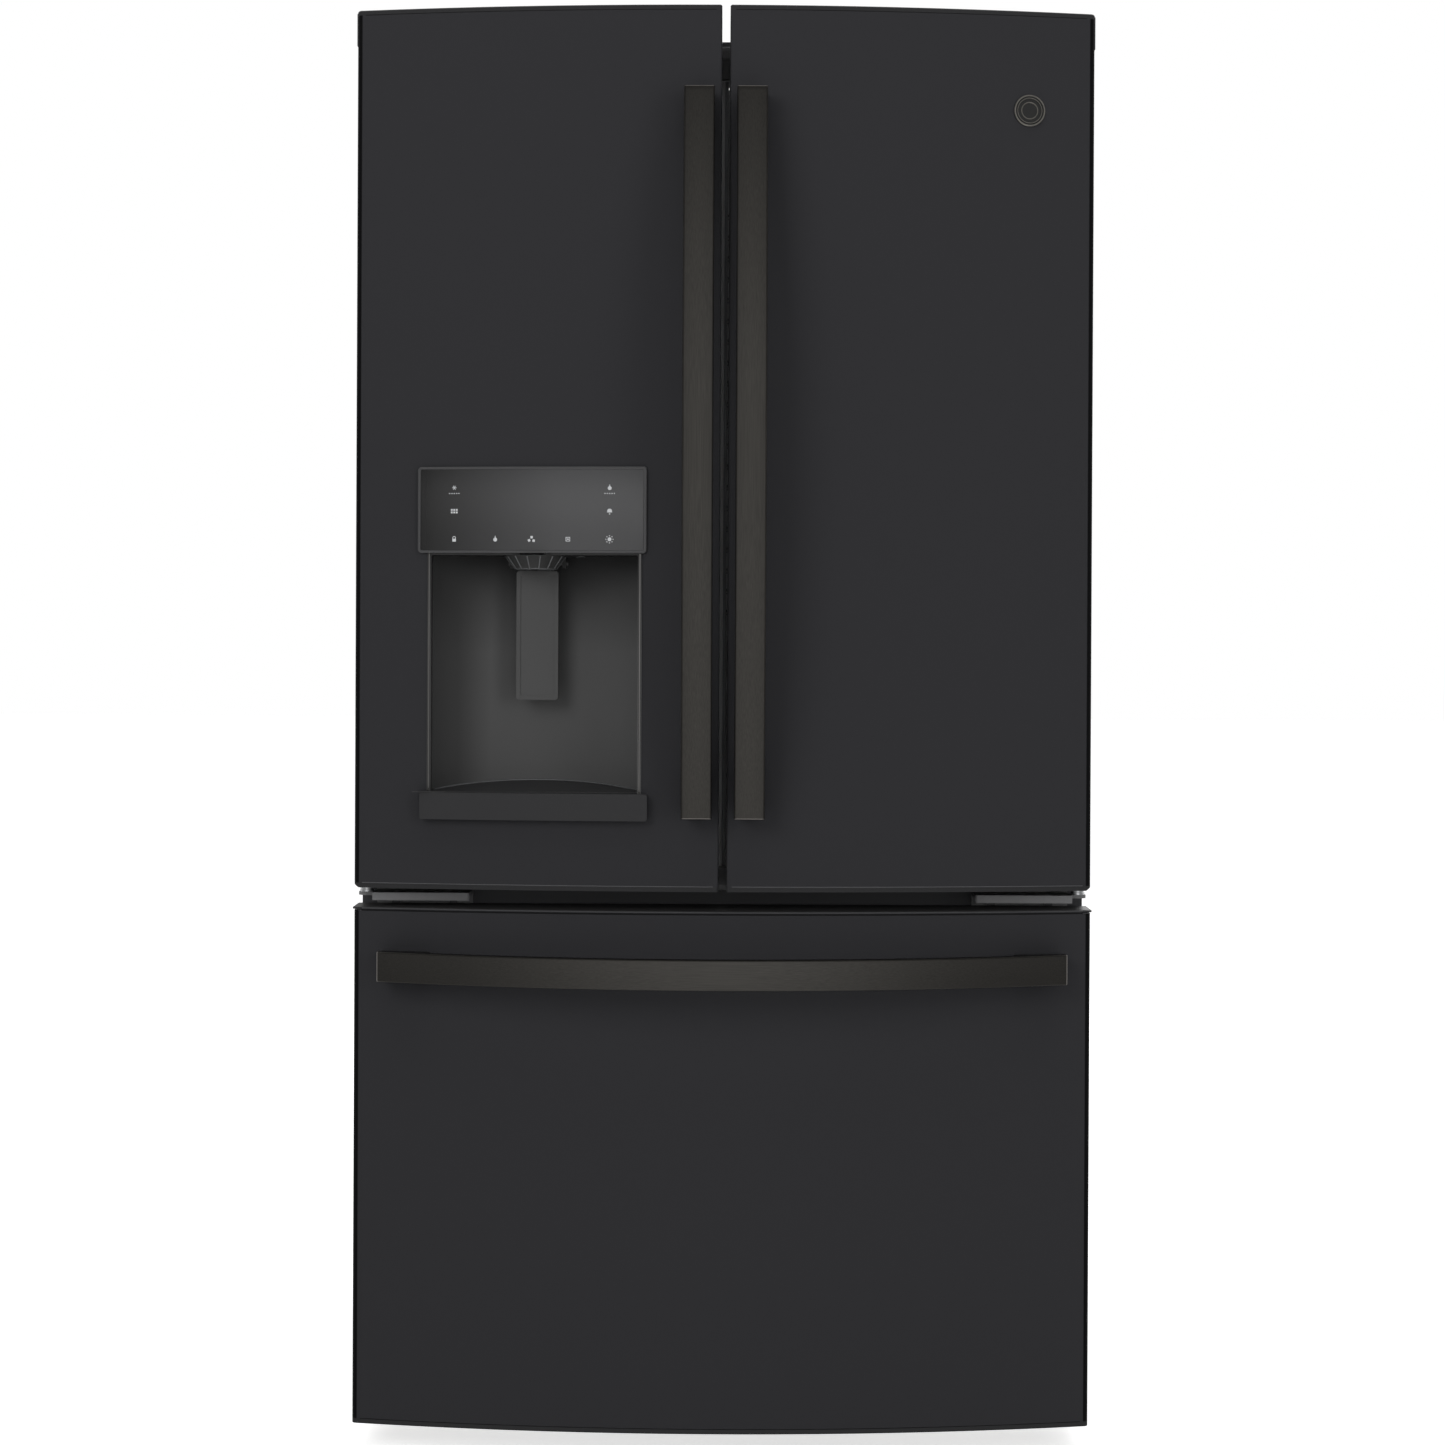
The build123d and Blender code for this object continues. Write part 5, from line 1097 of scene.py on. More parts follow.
lean = asin(BADGE_X / BOW_RADIUS)
outward = Vector((sin(lean), -cos(lean), 0))
seat = Vector((BADGE_X, front_at(BADGE_X), BADGE_Z))
badge = disc_piece("badge_disc", seat + outward * 0.0009, BADGE_RADIUS, 0.0020, outward, 96)
let_in(badge, outward, *BADGE_STEPS)
hand_over(badge, spun_metal, "right_door", 25)
second_finish(
    badge,
    enamel,
    lambda f: f.normal.dot(outward) > 0.9 and (f.center - seat).dot(outward) < FIELD_DEPTH,
)
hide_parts("badge")

# %% [markdown]
# ## Control panel
#
# The panel is a glossy smoked plate in a narrow frame.  Touch fields are printed on it; they are
# given here as plain pictograms and dots, without a word.  The frame is one plate whose front
# is inset and let in, and the smoked plate lies in that step.

# %% Frame and smoked plate
PANEL_BORDER = 0.0032

panel_low, panel_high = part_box("control_panel")
frame_x0, frame_x1 = panel_low.x + 0.0003, panel_high.x - 0.0003
frame_z0, frame_z1 = panel_low.z + 0.0002, panel_high.z - 0.0002

bezel = box_piece("panel_bezel", (frame_x0, -0.0040, frame_z0), (frame_x1, -0.0028, frame_z1))
round_corners(bezel, 0.0045, 5)
bezel_steps = ((0.0005, 0.0), (0.0006, -0.0005), (0.0018, 0.0), (0.0002, -0.0005))
let_in(bezel, (0, -1, 0), *bezel_steps)
hand_over(bent(bezel), trim_dark, "left_door")

glass = box_piece(
    "panel_face",
    (frame_x0 + PANEL_BORDER, -0.0036, frame_z0 + PANEL_BORDER),
    (frame_x1 - PANEL_BORDER, -0.0030, frame_z1 - PANEL_BORDER),
)
round_corners(glass, 0.0020, 5)
hand_over(bent(rounded(glass, 0.0002, 2)), smoked, "left_door")

# %% [markdown]
# Each pictogram is a flat plate a fraction of a millimetre thick.  It is cheaper to draw them
# from a few primitives than with curves: a drop is a circle with one point pulled up, a cube is
# a square with its middle taken out, a lock is a square and a ring.

# %% Draw a mark
MARK_Y, MARK_THICK = -0.0037, 0.00015


def mark_plate(x, z, radius, corners, turn=0.0, hole=0.0, flat=1.0):
    """A flat polygon on the panel, with a hole in it where one is asked for."""
    clear()
    bpy.ops.mesh.primitive_circle_add(
        vertices=corners,
        radius=radius,
        fill_type="NGON",
        location=(x, MARK_Y, z),
        rotation=(radians(90), radians(turn), 0),
    )
    mark = named("mark")
    if flat != 1.0:
        for point in mark.data.vertices:
            point.co.z = z + (point.co.z - z) * flat
    pick(mark)
    if hole:
        bpy.ops.mesh.inset(thickness=hole)
        bpy.ops.mesh.delete(type="FACE")
        bpy.ops.mesh.select_all(action="SELECT")
    bpy.ops.mesh.extrude_region_move(TRANSFORM_OT_translate={"value": (0, -MARK_THICK, 0)})
    clear()
    return mark


def grown(marks, x, z, factor=1.4):
    """The same marks, larger, about their own middle."""
    for mark in marks:
        for point in mark.data.vertices:
            point.co.x = x + (point.co.x - x) * factor
            point.co.z = z + (point.co.z - z) * factor
    return marks


print("marks are", MARK_THICK, "thick")


# %% Pictograms
def drop_mark(x, z):
    """A drop: a disc with its top point pulled up."""
    mark = mark_plate(x, z - 0.0004, 0.0017, 20)
    pick(mark, lambda v: v.co.z > z + 0.00125, "VERT")
    bpy.ops.transform.translate(value=(0, 0, 0.0021))
    clear()
    return [mark]


def cube_mark(x, z):
    """An ice cube: a square frame with a small square in it."""
    return [mark_plate(x, z, 0.0027, 4, 45, 0.00055), mark_plate(x, z, 0.0009, 4, 45)]


def chips_mark(x, z):
    """Crushed ice: three small squares, each turned its own way."""
    spots = ((-0.0021, -0.0011, 20), (0.0019, -0.0013, 60), (0.0001, 0.0017, 40))
    return [mark_plate(x + dx, z + dz, 0.0015, 4, turn) for dx, dz, turn in spots]


def lock_mark(x, z):
    """A lock: a low body with a ring over it."""
    return [
        mark_plate(x, z - 0.0009, 0.0022, 4, 45, 0, 0.8),
        mark_plate(x, z + 0.0011, 0.0015, 20, 0, 0.0005),
    ]


def lamp_mark(x, z):
    """A lamp: a disc with eight dots round it."""
    turns = [radians(turn) for turn in range(0, 360, 45)]
    rays = [mark_plate(x + 0.0031 * cos(a), z + 0.0031 * sin(a), 0.0005, 8) for a in turns]
    return [mark_plate(x, z, 0.0017, 20)] + rays


def flake_mark(x, z):
    """A snowflake: three thin bars through one point."""
    bars = []
    for turn in (0, 60, 120):
        bar = mark_plate(0, 0, 0.0028, 4, 45, 0, 0.13)
        bar.data.transform(Matrix.Translation((0, -MARK_Y, 0)))
        bar.data.transform(Matrix.Rotation(radians(turn), 4, "Y"))
        bars.append(copy_at(bar, (x, MARK_Y, z)))
        bpy.data.objects.remove(bar)
    return bars


def level_mark(x, z, count=5):
    """A row of dots, as on a level indicator."""
    middle = (count - 1) / 2
    return [mark_plate(x + (i - middle) * 0.0024, z, 0.0006, 12) for i in range(count)]


def tray_mark(x, z):
    """An ice tray: two rows of three squares."""
    spots = [(dx, dz) for dx in (-0.0022, 0, 0.0022) for dz in (-0.0011, 0.0011)]
    return [mark_plate(x + dx, z + dz, 0.0011, 4, 45) for dx, dz in spots]


def bell_mark(x, z):
    """A bell: a disc drawn wide and flat at its foot, with a dot below."""
    dome = mark_plate(x, z + 0.0001, 0.0021, 20)
    pick(dome, lambda v: v.co.z < z - 0.0006, "VERT")
    bpy.ops.transform.resize(value=(1.5, 1, 0.2), center_override=(x, MARK_Y, z - 0.0009))
    clear()
    return [dome, mark_plate(x, z - 0.0024, 0.0006, 10)]


print("pictograms: drop, cube, chips, lock, lamp, flake, levels, tray, bell")

# %% Print them on the panel
COLUMNS = (-0.3296, -0.2789, -0.2343, -0.1898, -0.1391)
ROWS = (1.1870, 1.1584, 1.1242)
FIELDS = (
    (flake_mark, 0, 0), (drop_mark, 4, 0), (tray_mark, 0, 1), (bell_mark, 4, 1), (lock_mark, 0, 2),
    (drop_mark, 1, 2), (chips_mark, 2, 2), (cube_mark, 3, 2), (lamp_mark, 4, 2),
)
marks = []
for make, i, j in FIELDS:
    marks += grown(make(COLUMNS[i], ROWS[j]), COLUMNS[i], ROWS[j])
level_z = ROWS[0] - 0.0070
for x in (COLUMNS[0], COLUMNS[4]):
    marks += grown(level_mark(x, level_z), x, level_z, 1.2)
prints = bent(closed(joined("panel_marks", marks), 1e-7), 0.04)
hand_over(prints, mark_paint, "left_door")

# %% [markdown]
# ## Dispenser details
#
# The recess is one moulding.  What makes it look real are the parts with edges: bright strips
# down both sides, a ribbed funnel for the ice, a lamp beside it, and the drip tray's rim, which
# is an arc of the same circle as the curved back wall.

# %% Rim of the drip tray
TRAY_HALF, TRAY_DEEP, TRAY_BACK_RISE = 0.1262, 0.0545, 0.010
ARC_START = -0.3445

recess_low, recess_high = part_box("dispenser_housing")
middle_x = (recess_low.x + recess_high.x) / 2
tray_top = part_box("drip_tray")[1].z
arc_radius = (TRAY_HALF**2 + TRAY_DEEP**2) / (2 * TRAY_DEEP)
arc_y = ARC_START + TRAY_DEEP - arc_radius
clear()
bpy.ops.mesh.primitive_circle_add(
    vertices=10,
    radius=0.0011,
    location=(middle_x, arc_y + arc_radius, tray_top + 0.0018),
    rotation=(0, radians(90), 0),
)
first = named("tray_rim")
halves = []
sweep = asin(TRAY_HALF / arc_radius) * 0.985
for side in (1, -1):
    half = first if side == -1 else copy_at(first, (0, 0, 0))
    pick(half, kind="VERT")
    bpy.ops.mesh.spin(steps=24, angle=side * sweep, center=(middle_x, arc_y, 0), axis=(0, 0, 1))
    clear()
    halves.append(half)
rim = closed(joined("tray_rim", halves), 1e-4)
pick(rim, open_edge, "EDGE")
bpy.ops.mesh.edge_face_add()
clear()
hand_over(closed(rim), smoke_plastic, "drip_tray", 60)

# %% [markdown]
# Inside that rim lies a smooth, darker insert that catches the drips and drains to the front.
# It is a disc segment: a cylinder of the same radius, cut off along the door's front.  Rim and
# insert are then lifted by a centimetre at the back, so that they slope.

# %% Drip insert
insert_front = front_at(middle_x) + 0.0015
insert_place = (middle_x, arc_y, tray_top + 0.0007)
insert = disc_piece("drip_insert", insert_place, arc_radius - 0.0012, 0.0010, sides=240)
pick(insert, kind="VERT")
bpy.ops.mesh.bisect(
    plane_co=(0, insert_front, 0), plane_no=(0, -1, 0), use_fill=True, clear_outer=True
)
clear()
hand_over(closed(insert), drip_dark, "drip_tray")
for piece in (rim, insert):
    for point in piece.data.vertices:
        point.co.z += TRAY_BACK_RISE * max(0.0, (point.co.y - ARC_START) / TRAY_DEEP)
    piece.data.update()

# %% [markdown]
# The strips at the sides of the recess have a polished front edge.  Each is a thin rail with
# rounded edges, laid on the bow.

# %% Side trims of the recess
TRIM_HALF = 0.0011

trims = []
for x in (middle_x - 0.1295, middle_x + 0.1295):
    foot = (x - TRIM_HALF, -0.0020, tray_top + 0.0006)
    top = (x + TRIM_HALF, -0.0008, panel_low.z - 0.0002)
    trims.append(rounded(box_piece("trim", foot, top), 0.0005, 3))
hand_over(bent(joined("recess_trims", trims), 0.3), trim_metal, "left_door")

# %% [markdown]
# The funnel is a moulded cup with a rolled lip and flutes round its outside.  The lip is a
# torus; each flute is a slim rod that leans outwards with the cup's wall.

# %% Flutes and lip of the funnel
FLUTES = 14
LIP_RADIUS, FLUTE_FOOT, FLUTE_HEAD = 0.0247, 0.0252, 0.0368

cup_x, cup_y = middle_x, front_at(middle_x) + 0.027
cup_bottom = recess_high.z - 0.002 - 0.016
clear()
bpy.ops.mesh.primitive_torus_add(
    location=(cup_x, cup_y, cup_bottom),
    major_radius=LIP_RADIUS,
    minor_radius=0.0013,
    major_segments=64,
    minor_segments=10,
)
funnel = [named("lip")]
for i in range(FLUTES):
    turn = 2 * pi * i / FLUTES
    out = Vector((cos(turn), sin(turn), 0))
    foot = Vector((cup_x, cup_y, cup_bottom)) + out * FLUTE_FOOT
    head = Vector((cup_x, cup_y, recess_high.z - 0.003)) + out * FLUTE_HEAD
    along = head - foot
    funnel.append(disc_piece("flute", (foot + head) / 2, 0.0012, along.length, along, 8))
hand_over(joined("funnel_flutes", funnel), smoke_plastic, "left_door", 60)

# %% Lamp beside the funnel
lens_place = (cup_x + 0.055, cup_y + 0.012, recess_high.z - 0.0024)
lens = disc_piece("lamp_lens", lens_place, 0.006, 0.0012, (0, 0, -1), 40)
let_in(lens, (0, 0, -1), (0.0012, 0.0002))
hand_over(lens, smoke_plastic, "left_door")

# %% [markdown]
# ## Door edges
#
# A door skin is folded sheet.  Its lower hem and the front edge of the drawer's cap are rails
# painted lighter than their part: painted highlights, as hairlines.  Under that edge, where the
# sheet meets the plastic cap, a dark rail is painted shadow; fine dark joints run along the door
# tops and the drawer's lower edge.  All are slim rails that follow the bow: paint alone would
# leave the edge dead flat.

# %% Hems and joints
EDGE_INNER, EDGE_OUTER = 0.0115, 0.4440
INTO_DOOR = 0.0008


def hem(name, x, z, proud, finish, body):
    """A rail between two ends and two heights that follows the bow."""
    rail = box_piece(name, (x[0], -proud, z[0]), (x[1], INTO_DOOR, z[1]))
    rounded(rail, min(z[1] - z[0], proud + INTO_DOOR) * 0.45, 3)
    hand_over(bent(rail), finish, body)


skin_low, skin_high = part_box("left_door_skin")
lower = (skin_low.z - 0.0003, skin_low.z + 0.0009)
upper = (skin_high.z - 0.0004, skin_high.z + 0.0005)
for side, door in ((-1, "left_door"), (1, "right_door")):
    ends = sorted((side * EDGE_INNER, side * EDGE_OUTER))
    hem(door + "_lower_hem", ends, lower, 0.00035, hem_metal, door)
    hem(door + "_upper_joint", ends, upper, 0.00015, dark_joint, door)
drawer_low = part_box("drawer_skin")[0].z
cap_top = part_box("drawer_caps")[1].z
for name, z, proud, finish in (
    # This edge rail is painted lighter than the cap: a painted highlight.
    ("drawer_cap_edge", (cap_top - 0.0020, cap_top - 0.0003), 0.0013, cap_edge),
    # This dark rail under the cap's edge is a painted shadow where the cap overhangs the sheet.
    ("drawer_cap_joint", (cap_top - 0.0046, cap_top - 0.0021), 0.0001, dark_joint),
    ("drawer_lower_joint", (drawer_low - 0.0006, drawer_low + 0.0006), 0.00005, dark_joint),
):
    hem(name, (-EDGE_OUTER, EDGE_OUTER), z, proud, finish, "freezer_drawer")

# %% [markdown]
# ## Gaskets
#
# Each door is sealed by a soft grey bellows with a magnet in its face.  Its profile is the same
# all round, with mitred corners, so it is made like a picture frame: a plate that looks at the
# cabinet is inset again and again, each time with its own width and depth, which draws the folds
# of the profile.  Then the middle is taken out and the back is bridged.

# %% Bellows gasket
PROFILE = (
    (0.0004, 0.30), (0.0004, 0.12), (0.0012, 0.0), (0.0005, -0.14), (0.0009, 0.0), (0.0005, 0.22),
    (0.0006, 0.28), (0.0008, 0.18), (0.0006, 0.04), (0.0042, 0.0), (0.0006, -0.04),
    (0.0008, -0.20), (0.0006, -0.26), (0.0005, -0.20), (0.0008, 0.0), (0.0004, 0.10),
    (0.0010, 0.0), (0.0006, -0.30),
)


def bellows(node, body):
    """A gasket with a lip, a fold and a flat magnet face."""
    low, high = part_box(node)
    place = ((low.x + high.x) / 2, low.y + 0.0001, (low.z + high.z) / 2)
    size = (high.x - low.x, high.z - low.z)
    ring = plane_piece(node + "_bellows", place, (radians(-90), 0, 0), *size)
    deep = high.y - low.y - 0.0003
    pick(ring)
    for width, share in PROFILE:
        bpy.ops.mesh.inset(thickness=width, depth=share * deep)
    bpy.ops.mesh.delete(type="FACE")
    pick(ring, open_edge, "EDGE")
    bpy.ops.mesh.bridge_edge_loops()
    clear()
    hand_over(closed(ring), vinyl, body, 50)
    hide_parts(node)
    top = max(point.co.y for point in ring.data.vertices)
    print("  magnet face at", round(top, 4), "of", round(high.y, 4))


bellows("left_door_gasket", "left_door")
bellows("right_door_gasket", "right_door")
bellows("drawer_gasket", "freezer_drawer")

# %% [markdown]
# Between the doors the flap on the left door closes most of the gap.  A soft lip along its edge
# and a fin on the right door's seal close the rest, and small guides on the cabinet, above and
# below, catch the flap's ends.  Lip and fin are thin strips; neither touches the other side.

# %% Lip, fin and guides in the middle gap
GUIDE_HALF, GUIDE_FRONT, GUIDE_BACK = 0.0095, -0.2932, -0.2857

flap_low, flap_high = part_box("mullion")
for name, x, y, body in (
    ("flap_lip", (flap_high.x - 0.0010, 0.0036), (-0.2846, -0.2840), "mullion"),
    ("seal_fin", (0.0040, 0.0130), (-0.2868, -0.2862), "right_door"),
):
    strip = box_piece(name, (x[0], y[0], flap_low.z), (x[1], y[1], flap_high.z))
    hand_over(rounded(strip, 0.0002, 2), vinyl, body)
for name, z0, z1, finish in (
    ("flap_guide_low", 0.6885, flap_low.z - 0.0002, hinge_paint),
    ("flap_guide_high", 1.7300, 1.7455, hinge_paint),
    # Between the flap's top and the upper guide sits a darker block: painted shade.
    ("flap_guide_stop", flap_high.z + 0.0002, 1.7298, paddle_grey),
):
    guide = box_piece(name, (-GUIDE_HALF, GUIDE_FRONT, z0), (GUIDE_HALF, GUIDE_BACK, z1))
    hand_over(rounded(guide, 0.0012, 3), finish, "cabinet")

# %% [markdown]
# ## Inside the fridge
#
# Open doors show white plastic, glass and light.  The solids carry the liner, shelves and bins;
# here come the small things that make them look made: metal strips along the shelf fronts, lenses
# of the lamps, a slotted vent on the air tower, handles and humidity slides on the crispers.  All
# of them are slim blocks with soft edges, so one helper shapes them and bevels do the rest.

# %% One slim soft-edged block
def slim(name, x, y, z, soft=0.0006):
    """A block between two places on each axis, its bevel never more than it can take."""
    piece = box_piece(name, (x[0], y[0], z[0]), (x[1], y[1], z[1]))
    width = min(soft, *((side[1] - side[0]) / 2.5 for side in (x, y, z)))
    return rounded(piece, width, 2)


def span(node, low_z, high_z, side):
    """Left and right end of a node's points between two heights, on one side of the middle."""
    points = [point.co for point in nodes[node].data.vertices]
    xs = [co.x for co in points if low_z <= co.z <= high_z and co.x * side > 0]
    return min(xs), max(xs)


print("helpers: slim, span")

# %% Strips on the shelf fronts
SHELF_FRONTS = ((1.262, -1), (1.215, 1), (1.450, 1), (0.985, -1), (0.985, 1))
TRACK_HALF, STRIP_END = 0.022, 0.006

shelf_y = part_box("shelf_frames")[0].y
strips = []
for top, side in SHELF_FRONTS:
    x0, x1 = span("shelf_frames", top - 0.012, top + 0.001, side)
    if side < 0:
        x1 = min(x1, -TRACK_HALF)
    else:
        x0 = max(x0, TRACK_HALF)
    ends = (x0 + STRIP_END, x1 - STRIP_END)
    face = (shelf_y - 0.0007, shelf_y + 0.0003)
    strips.append(slim("strip", ends, face, (top - 0.0125, top - 0.0025)))
hand_over(joined("shelf_front_strips", strips), satin_strip, "cabinet")

# %% [markdown]
# Each crisper is opened by a grip along its upper edge.  The humidity slide sits in the cover
# above it: a slot, drawn as a dark plate that is painted shade, and a small white knob that is
# pushed sideways.

# %% Crisper grips and humidity slides
GRIP_INNER, GRIP_OUTER, SLIDE_X = 0.030, 0.382, 0.206

crisper_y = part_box("crisper_left")[0].y
for side, body in ((-1, "crisper_left"), (1, "crisper_right")):
    x0, x1 = sorted((side * GRIP_INNER, side * GRIP_OUTER))
    low, high = (x0, crisper_y - 0.0042, 0.9320), (x1, crisper_y - 0.0002, 0.9580)
    grip = pushed(box_piece(body + "_grip", low, high), (0, -1, 0), 0.0040, (0, 0.0016, 0))
    hand_over(rounded(grip, 0.0009, 3), liner_white_gloss, body)
slots, knobs = [], []
for x in (-SLIDE_X, SLIDE_X):
    ends, face = (x - 0.040, x + 0.040), (shelf_y - 0.0010, shelf_y - 0.0002)
    slots.append(slim("slot", ends, face, (0.9745, 0.9805), 0.0003))
    ends, face = (x + 0.012, x + 0.026), (shelf_y - 0.0036, shelf_y - 0.0008)
    knobs.append(slim("knob", ends, face, (0.9732, 0.9818), 0.0010))
# The slots are dark plates: painted shade.
hand_over(joined("humidity_slots", slots), dark_joint, "cabinet")
hand_over(joined("humidity_knobs", knobs), liner_white_gloss, "cabinet")

# %% [markdown]
# The door bins are clear, with a satin strip along the rail that holds the bottles.  Cold air
# leaves the tower through a row of slots; each is a dark plate, painted shade for the slot's
# depth, with a sloped blade in it.

# %% Strips on the door bins
BIN_TOPS = (0.831, 1.076, 1.321, 1.566)
BIN_INNER, BIN_OUTER, BIN_FACE = 0.0800, 0.3800, (-0.1957, -0.1948)

for side, body, tops in ((-1, "left_door", BIN_TOPS[:2]), (1, "right_door", BIN_TOPS)):
    ends = sorted((side * BIN_INNER, side * BIN_OUTER))
    rails = [slim("rail", ends, BIN_FACE, (top - 0.0092, top - 0.0012)) for top in tops]
    hand_over(joined(body + "_bin_strips", rails), satin_strip, body)

# %% Slots of the air tower
SLOTS, TOWER_END = 20, 0.035
GROOVE_HALF, BLADE_HALF, GROOVE_HIGH, BLADE_TILT = 0.0135, 0.0130, 0.0042, 0.0012

tower_low, tower_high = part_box("air_tower")
face = tower_low.y
ends, deep = (-GROOVE_HALF, GROOVE_HALF), (face - 0.0004, face + 0.0004)
grooves, blades = [], []
for i in range(SLOTS):
    z = tower_low.z + TOWER_END + i * (tower_high.z - tower_low.z - 2 * TOWER_END) / (SLOTS - 1)
    grooves.append(slim("groove", ends, deep, (z - GROOVE_HIGH, z + GROOVE_HIGH), 0.0002))
    low, high = (-BLADE_HALF, face - 0.0016, z - 0.0022), (BLADE_HALF, face - 0.0006, z - 0.0012)
    blade = box_piece("blade", low, high)
    pick(blade, lambda v: v.co.y < face - 0.0012, "VERT")
    bpy.ops.transform.translate(value=(0, 0, BLADE_TILT))
    clear()
    blades.append(blade)
# The grooves are dark plates: painted shade for the slots' depth.
hand_over(joined("tower_grooves", grooves), dark_joint, "cabinet")
hand_over(joined("tower_blades", blades), liner_white_gloss, "cabinet")

# %% [markdown]
# Lamps: one flat lens in the ceiling, an upright strip in each side wall near the door, and one
# lens over the drawer.  A lens is milky plastic with a faint glow, in a narrow white frame that
# is inset from the same block.

# %% Lenses of the lamps
def lens_block(name, low, high, look):
    """A lens: one face is inset, let in a little, and gets the milky finish."""
    piece = let_in(box_piece(name, low, high), look, (0.0030, 0.0), (0.0006, -0.0008))
    hand_over(rounded(piece, 0.0006, 2), liner_white_gloss, "cabinet")
    test = facing(look)
    widest = max(face.area for face in piece.data.polygons if test(face))
    second_finish(piece, lamp_glow, lambda face: test(face) and face.area > widest * 0.9)


for name, low, high, look in (
    ("ceiling_lamp", (-0.170, -0.228, 1.7165), (0.170, -0.168, 1.7217), (0, 0, -1)),
    ("side_lamp_left", (-0.4097, -0.2440, 1.010), (-0.4060, -0.2240, 1.640), (1, 0, 0)),
    ("side_lamp_right", (0.4060, -0.2440, 1.010), (0.4097, -0.2240, 1.640), (-1, 0, 0)),
    ("drawer_lamp", (-0.110, -0.262, 0.6355), (0.110, -0.232, 0.6397), (0, 0, -1)),
):
    lens_block(name, low, high, look)

# %% [markdown]
# The water filter is screwed into the ceiling at the right; what shows is its round cap with a
# grip bar.  The cap is turned from a disc, and a soft-edged bar is joined to it.

# %% Filter cap
cap = disc_piece("filter_cap", (0.335, -0.060, 1.7150), 0.036, 0.0130, (0, 0, -1), 64)
let_in(cap, (0, 0, -1), (0.0035, 0.0), (0.0012, -0.0025))
grip = box_piece("cap_bar", (0.3100, -0.0660, 1.7040), (0.3600, -0.0540, 1.7120))
cap = joined("filter_cap", [rounded(cap, 0.0008, 2), rounded(grip, 0.0024, 3)])
hand_over(cap, liner_white_gloss, "cabinet")

# %% [markdown]
# ## Ice box
#
# The left door carries a closed box with the ice maker above its bucket.  Its lid gets a raised
# border and a finger latch.  The ice maker is a mould with a shaft and sweeping fingers; one
# finger is modelled and copied along the shaft.

# %% Lid border and latch
LID_MARGIN = 0.016

lid_low, lid_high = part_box("ice_box_lid")
lid_face = lid_high.y
border = box_piece(
    "lid_border",
    (lid_low.x + LID_MARGIN, lid_face - 0.0004, lid_low.z + LID_MARGIN),
    (lid_high.x - LID_MARGIN, lid_face + 0.0010, lid_high.z - LID_MARGIN),
)
let_in(round_corners(border, 0.014, 6), (0, 1, 0), (0.0040, 0.0), (0.0012, -0.0004))
hand_over(rounded(border, 0.0004, 2), liner_white_gloss, "ice_box_lid")
latch = box_piece(
    "lid_latch",
    (lid_high.x - 0.050, lid_face + 0.0004, 1.455),
    (lid_high.x - 0.026, lid_face + 0.0058, 1.525),
)
pushed(latch, (0, 1, 0), 0.0045, (0, -0.0026, 0))
hand_over(rounded(latch, 0.0011, 3), trim_grey, "ice_box_lid")

# %% Ice maker over the bucket
FINGERS, FINGER_STEP = 9, 0.0260

mould = box_piece("ice_mould", (-0.352, -0.262, 1.604), (-0.122, -0.196, 1.634))
pick(mould, facing((0, 0, 1)))
bpy.ops.mesh.inset(thickness=0.0030)
bpy.ops.mesh.extrude_region_move(TRANSFORM_OT_translate={"value": (0, 0, -0.020)})
clear()
motor = slim("ice_motor", (-0.374, -0.352), (-0.268, -0.190), (1.596, 1.664), 0.004)
shaft = disc_piece("ice_shaft", (-0.237, -0.229, 1.6440), 0.0035, 0.230, (1, 0, 0), 20)
finger = slim("finger", (-0.3420, -0.3396), (-0.2560, -0.2290), (1.6410, 1.6470), 0.0008)
fingers = [copy_at(finger, (i * FINGER_STEP, 0, 0)) for i in range(FINGERS)]
bpy.data.objects.remove(finger)
ice_maker = joined("ice_maker", [rounded(mould, 0.0012, 2), motor, shaft] + fingers)
hand_over(ice_maker, trim_grey, "left_door")

# %% [markdown]
# ## Inside the drawer
#
# The wire basket gets a pull in the middle of its front, where a hand goes in, and the
# telescopic rails get the rivets that hold them.

# %% Basket pull and rivets of the rails
RIVET_YS = (-0.240, -0.060, 0.160)

basket_low, basket_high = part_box("freezer_basket")
pull = box_piece(
    "basket_pull",
    (-0.095, basket_low.y - 0.0022, basket_high.z - 0.046),
    (0.095, basket_low.y - 0.0002, basket_high.z - 0.002),
)
let_in(round_corners(pull, 0.012, 5), (0, -1, 0), (0.0050, 0.0), (0.0010, -0.0008))
hand_over(rounded(pull, 0.0004, 2), liner_white_gloss, "freezer_basket")
rail_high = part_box("rails_fixed")[1]
rivets = []
for side in (-1, 1):
    for y in RIVET_YS:
        place = (side * (rail_high.x + 0.0004), y, rail_high.z + 0.012)
        rivet = disc_piece("rivet", place, 0.0045, 0.0030, (-side, 0, 0), 24)
        rivets.append(rounded(rivet, 0.0010, 3))
hand_over(joined("liner_rivets", rivets), liner_white_gloss, "cabinet")

# %% [markdown]
# ## Rear sheet
#
# The back is closed by one zinc-coated sheet, stiffened by two long pressed ribs and held by
# screws along its edges.  The bare solid has no room for screw heads inside the cabinet's depth,
# so the sheet is made again, a little thinner: the ribs are inset from its face, and the heads
# stand on it without going past the old surface.

# %% Sheet with ribs
RIB_INNER, RIB_OUTER, RIB_END = 0.175, 0.215, 0.060

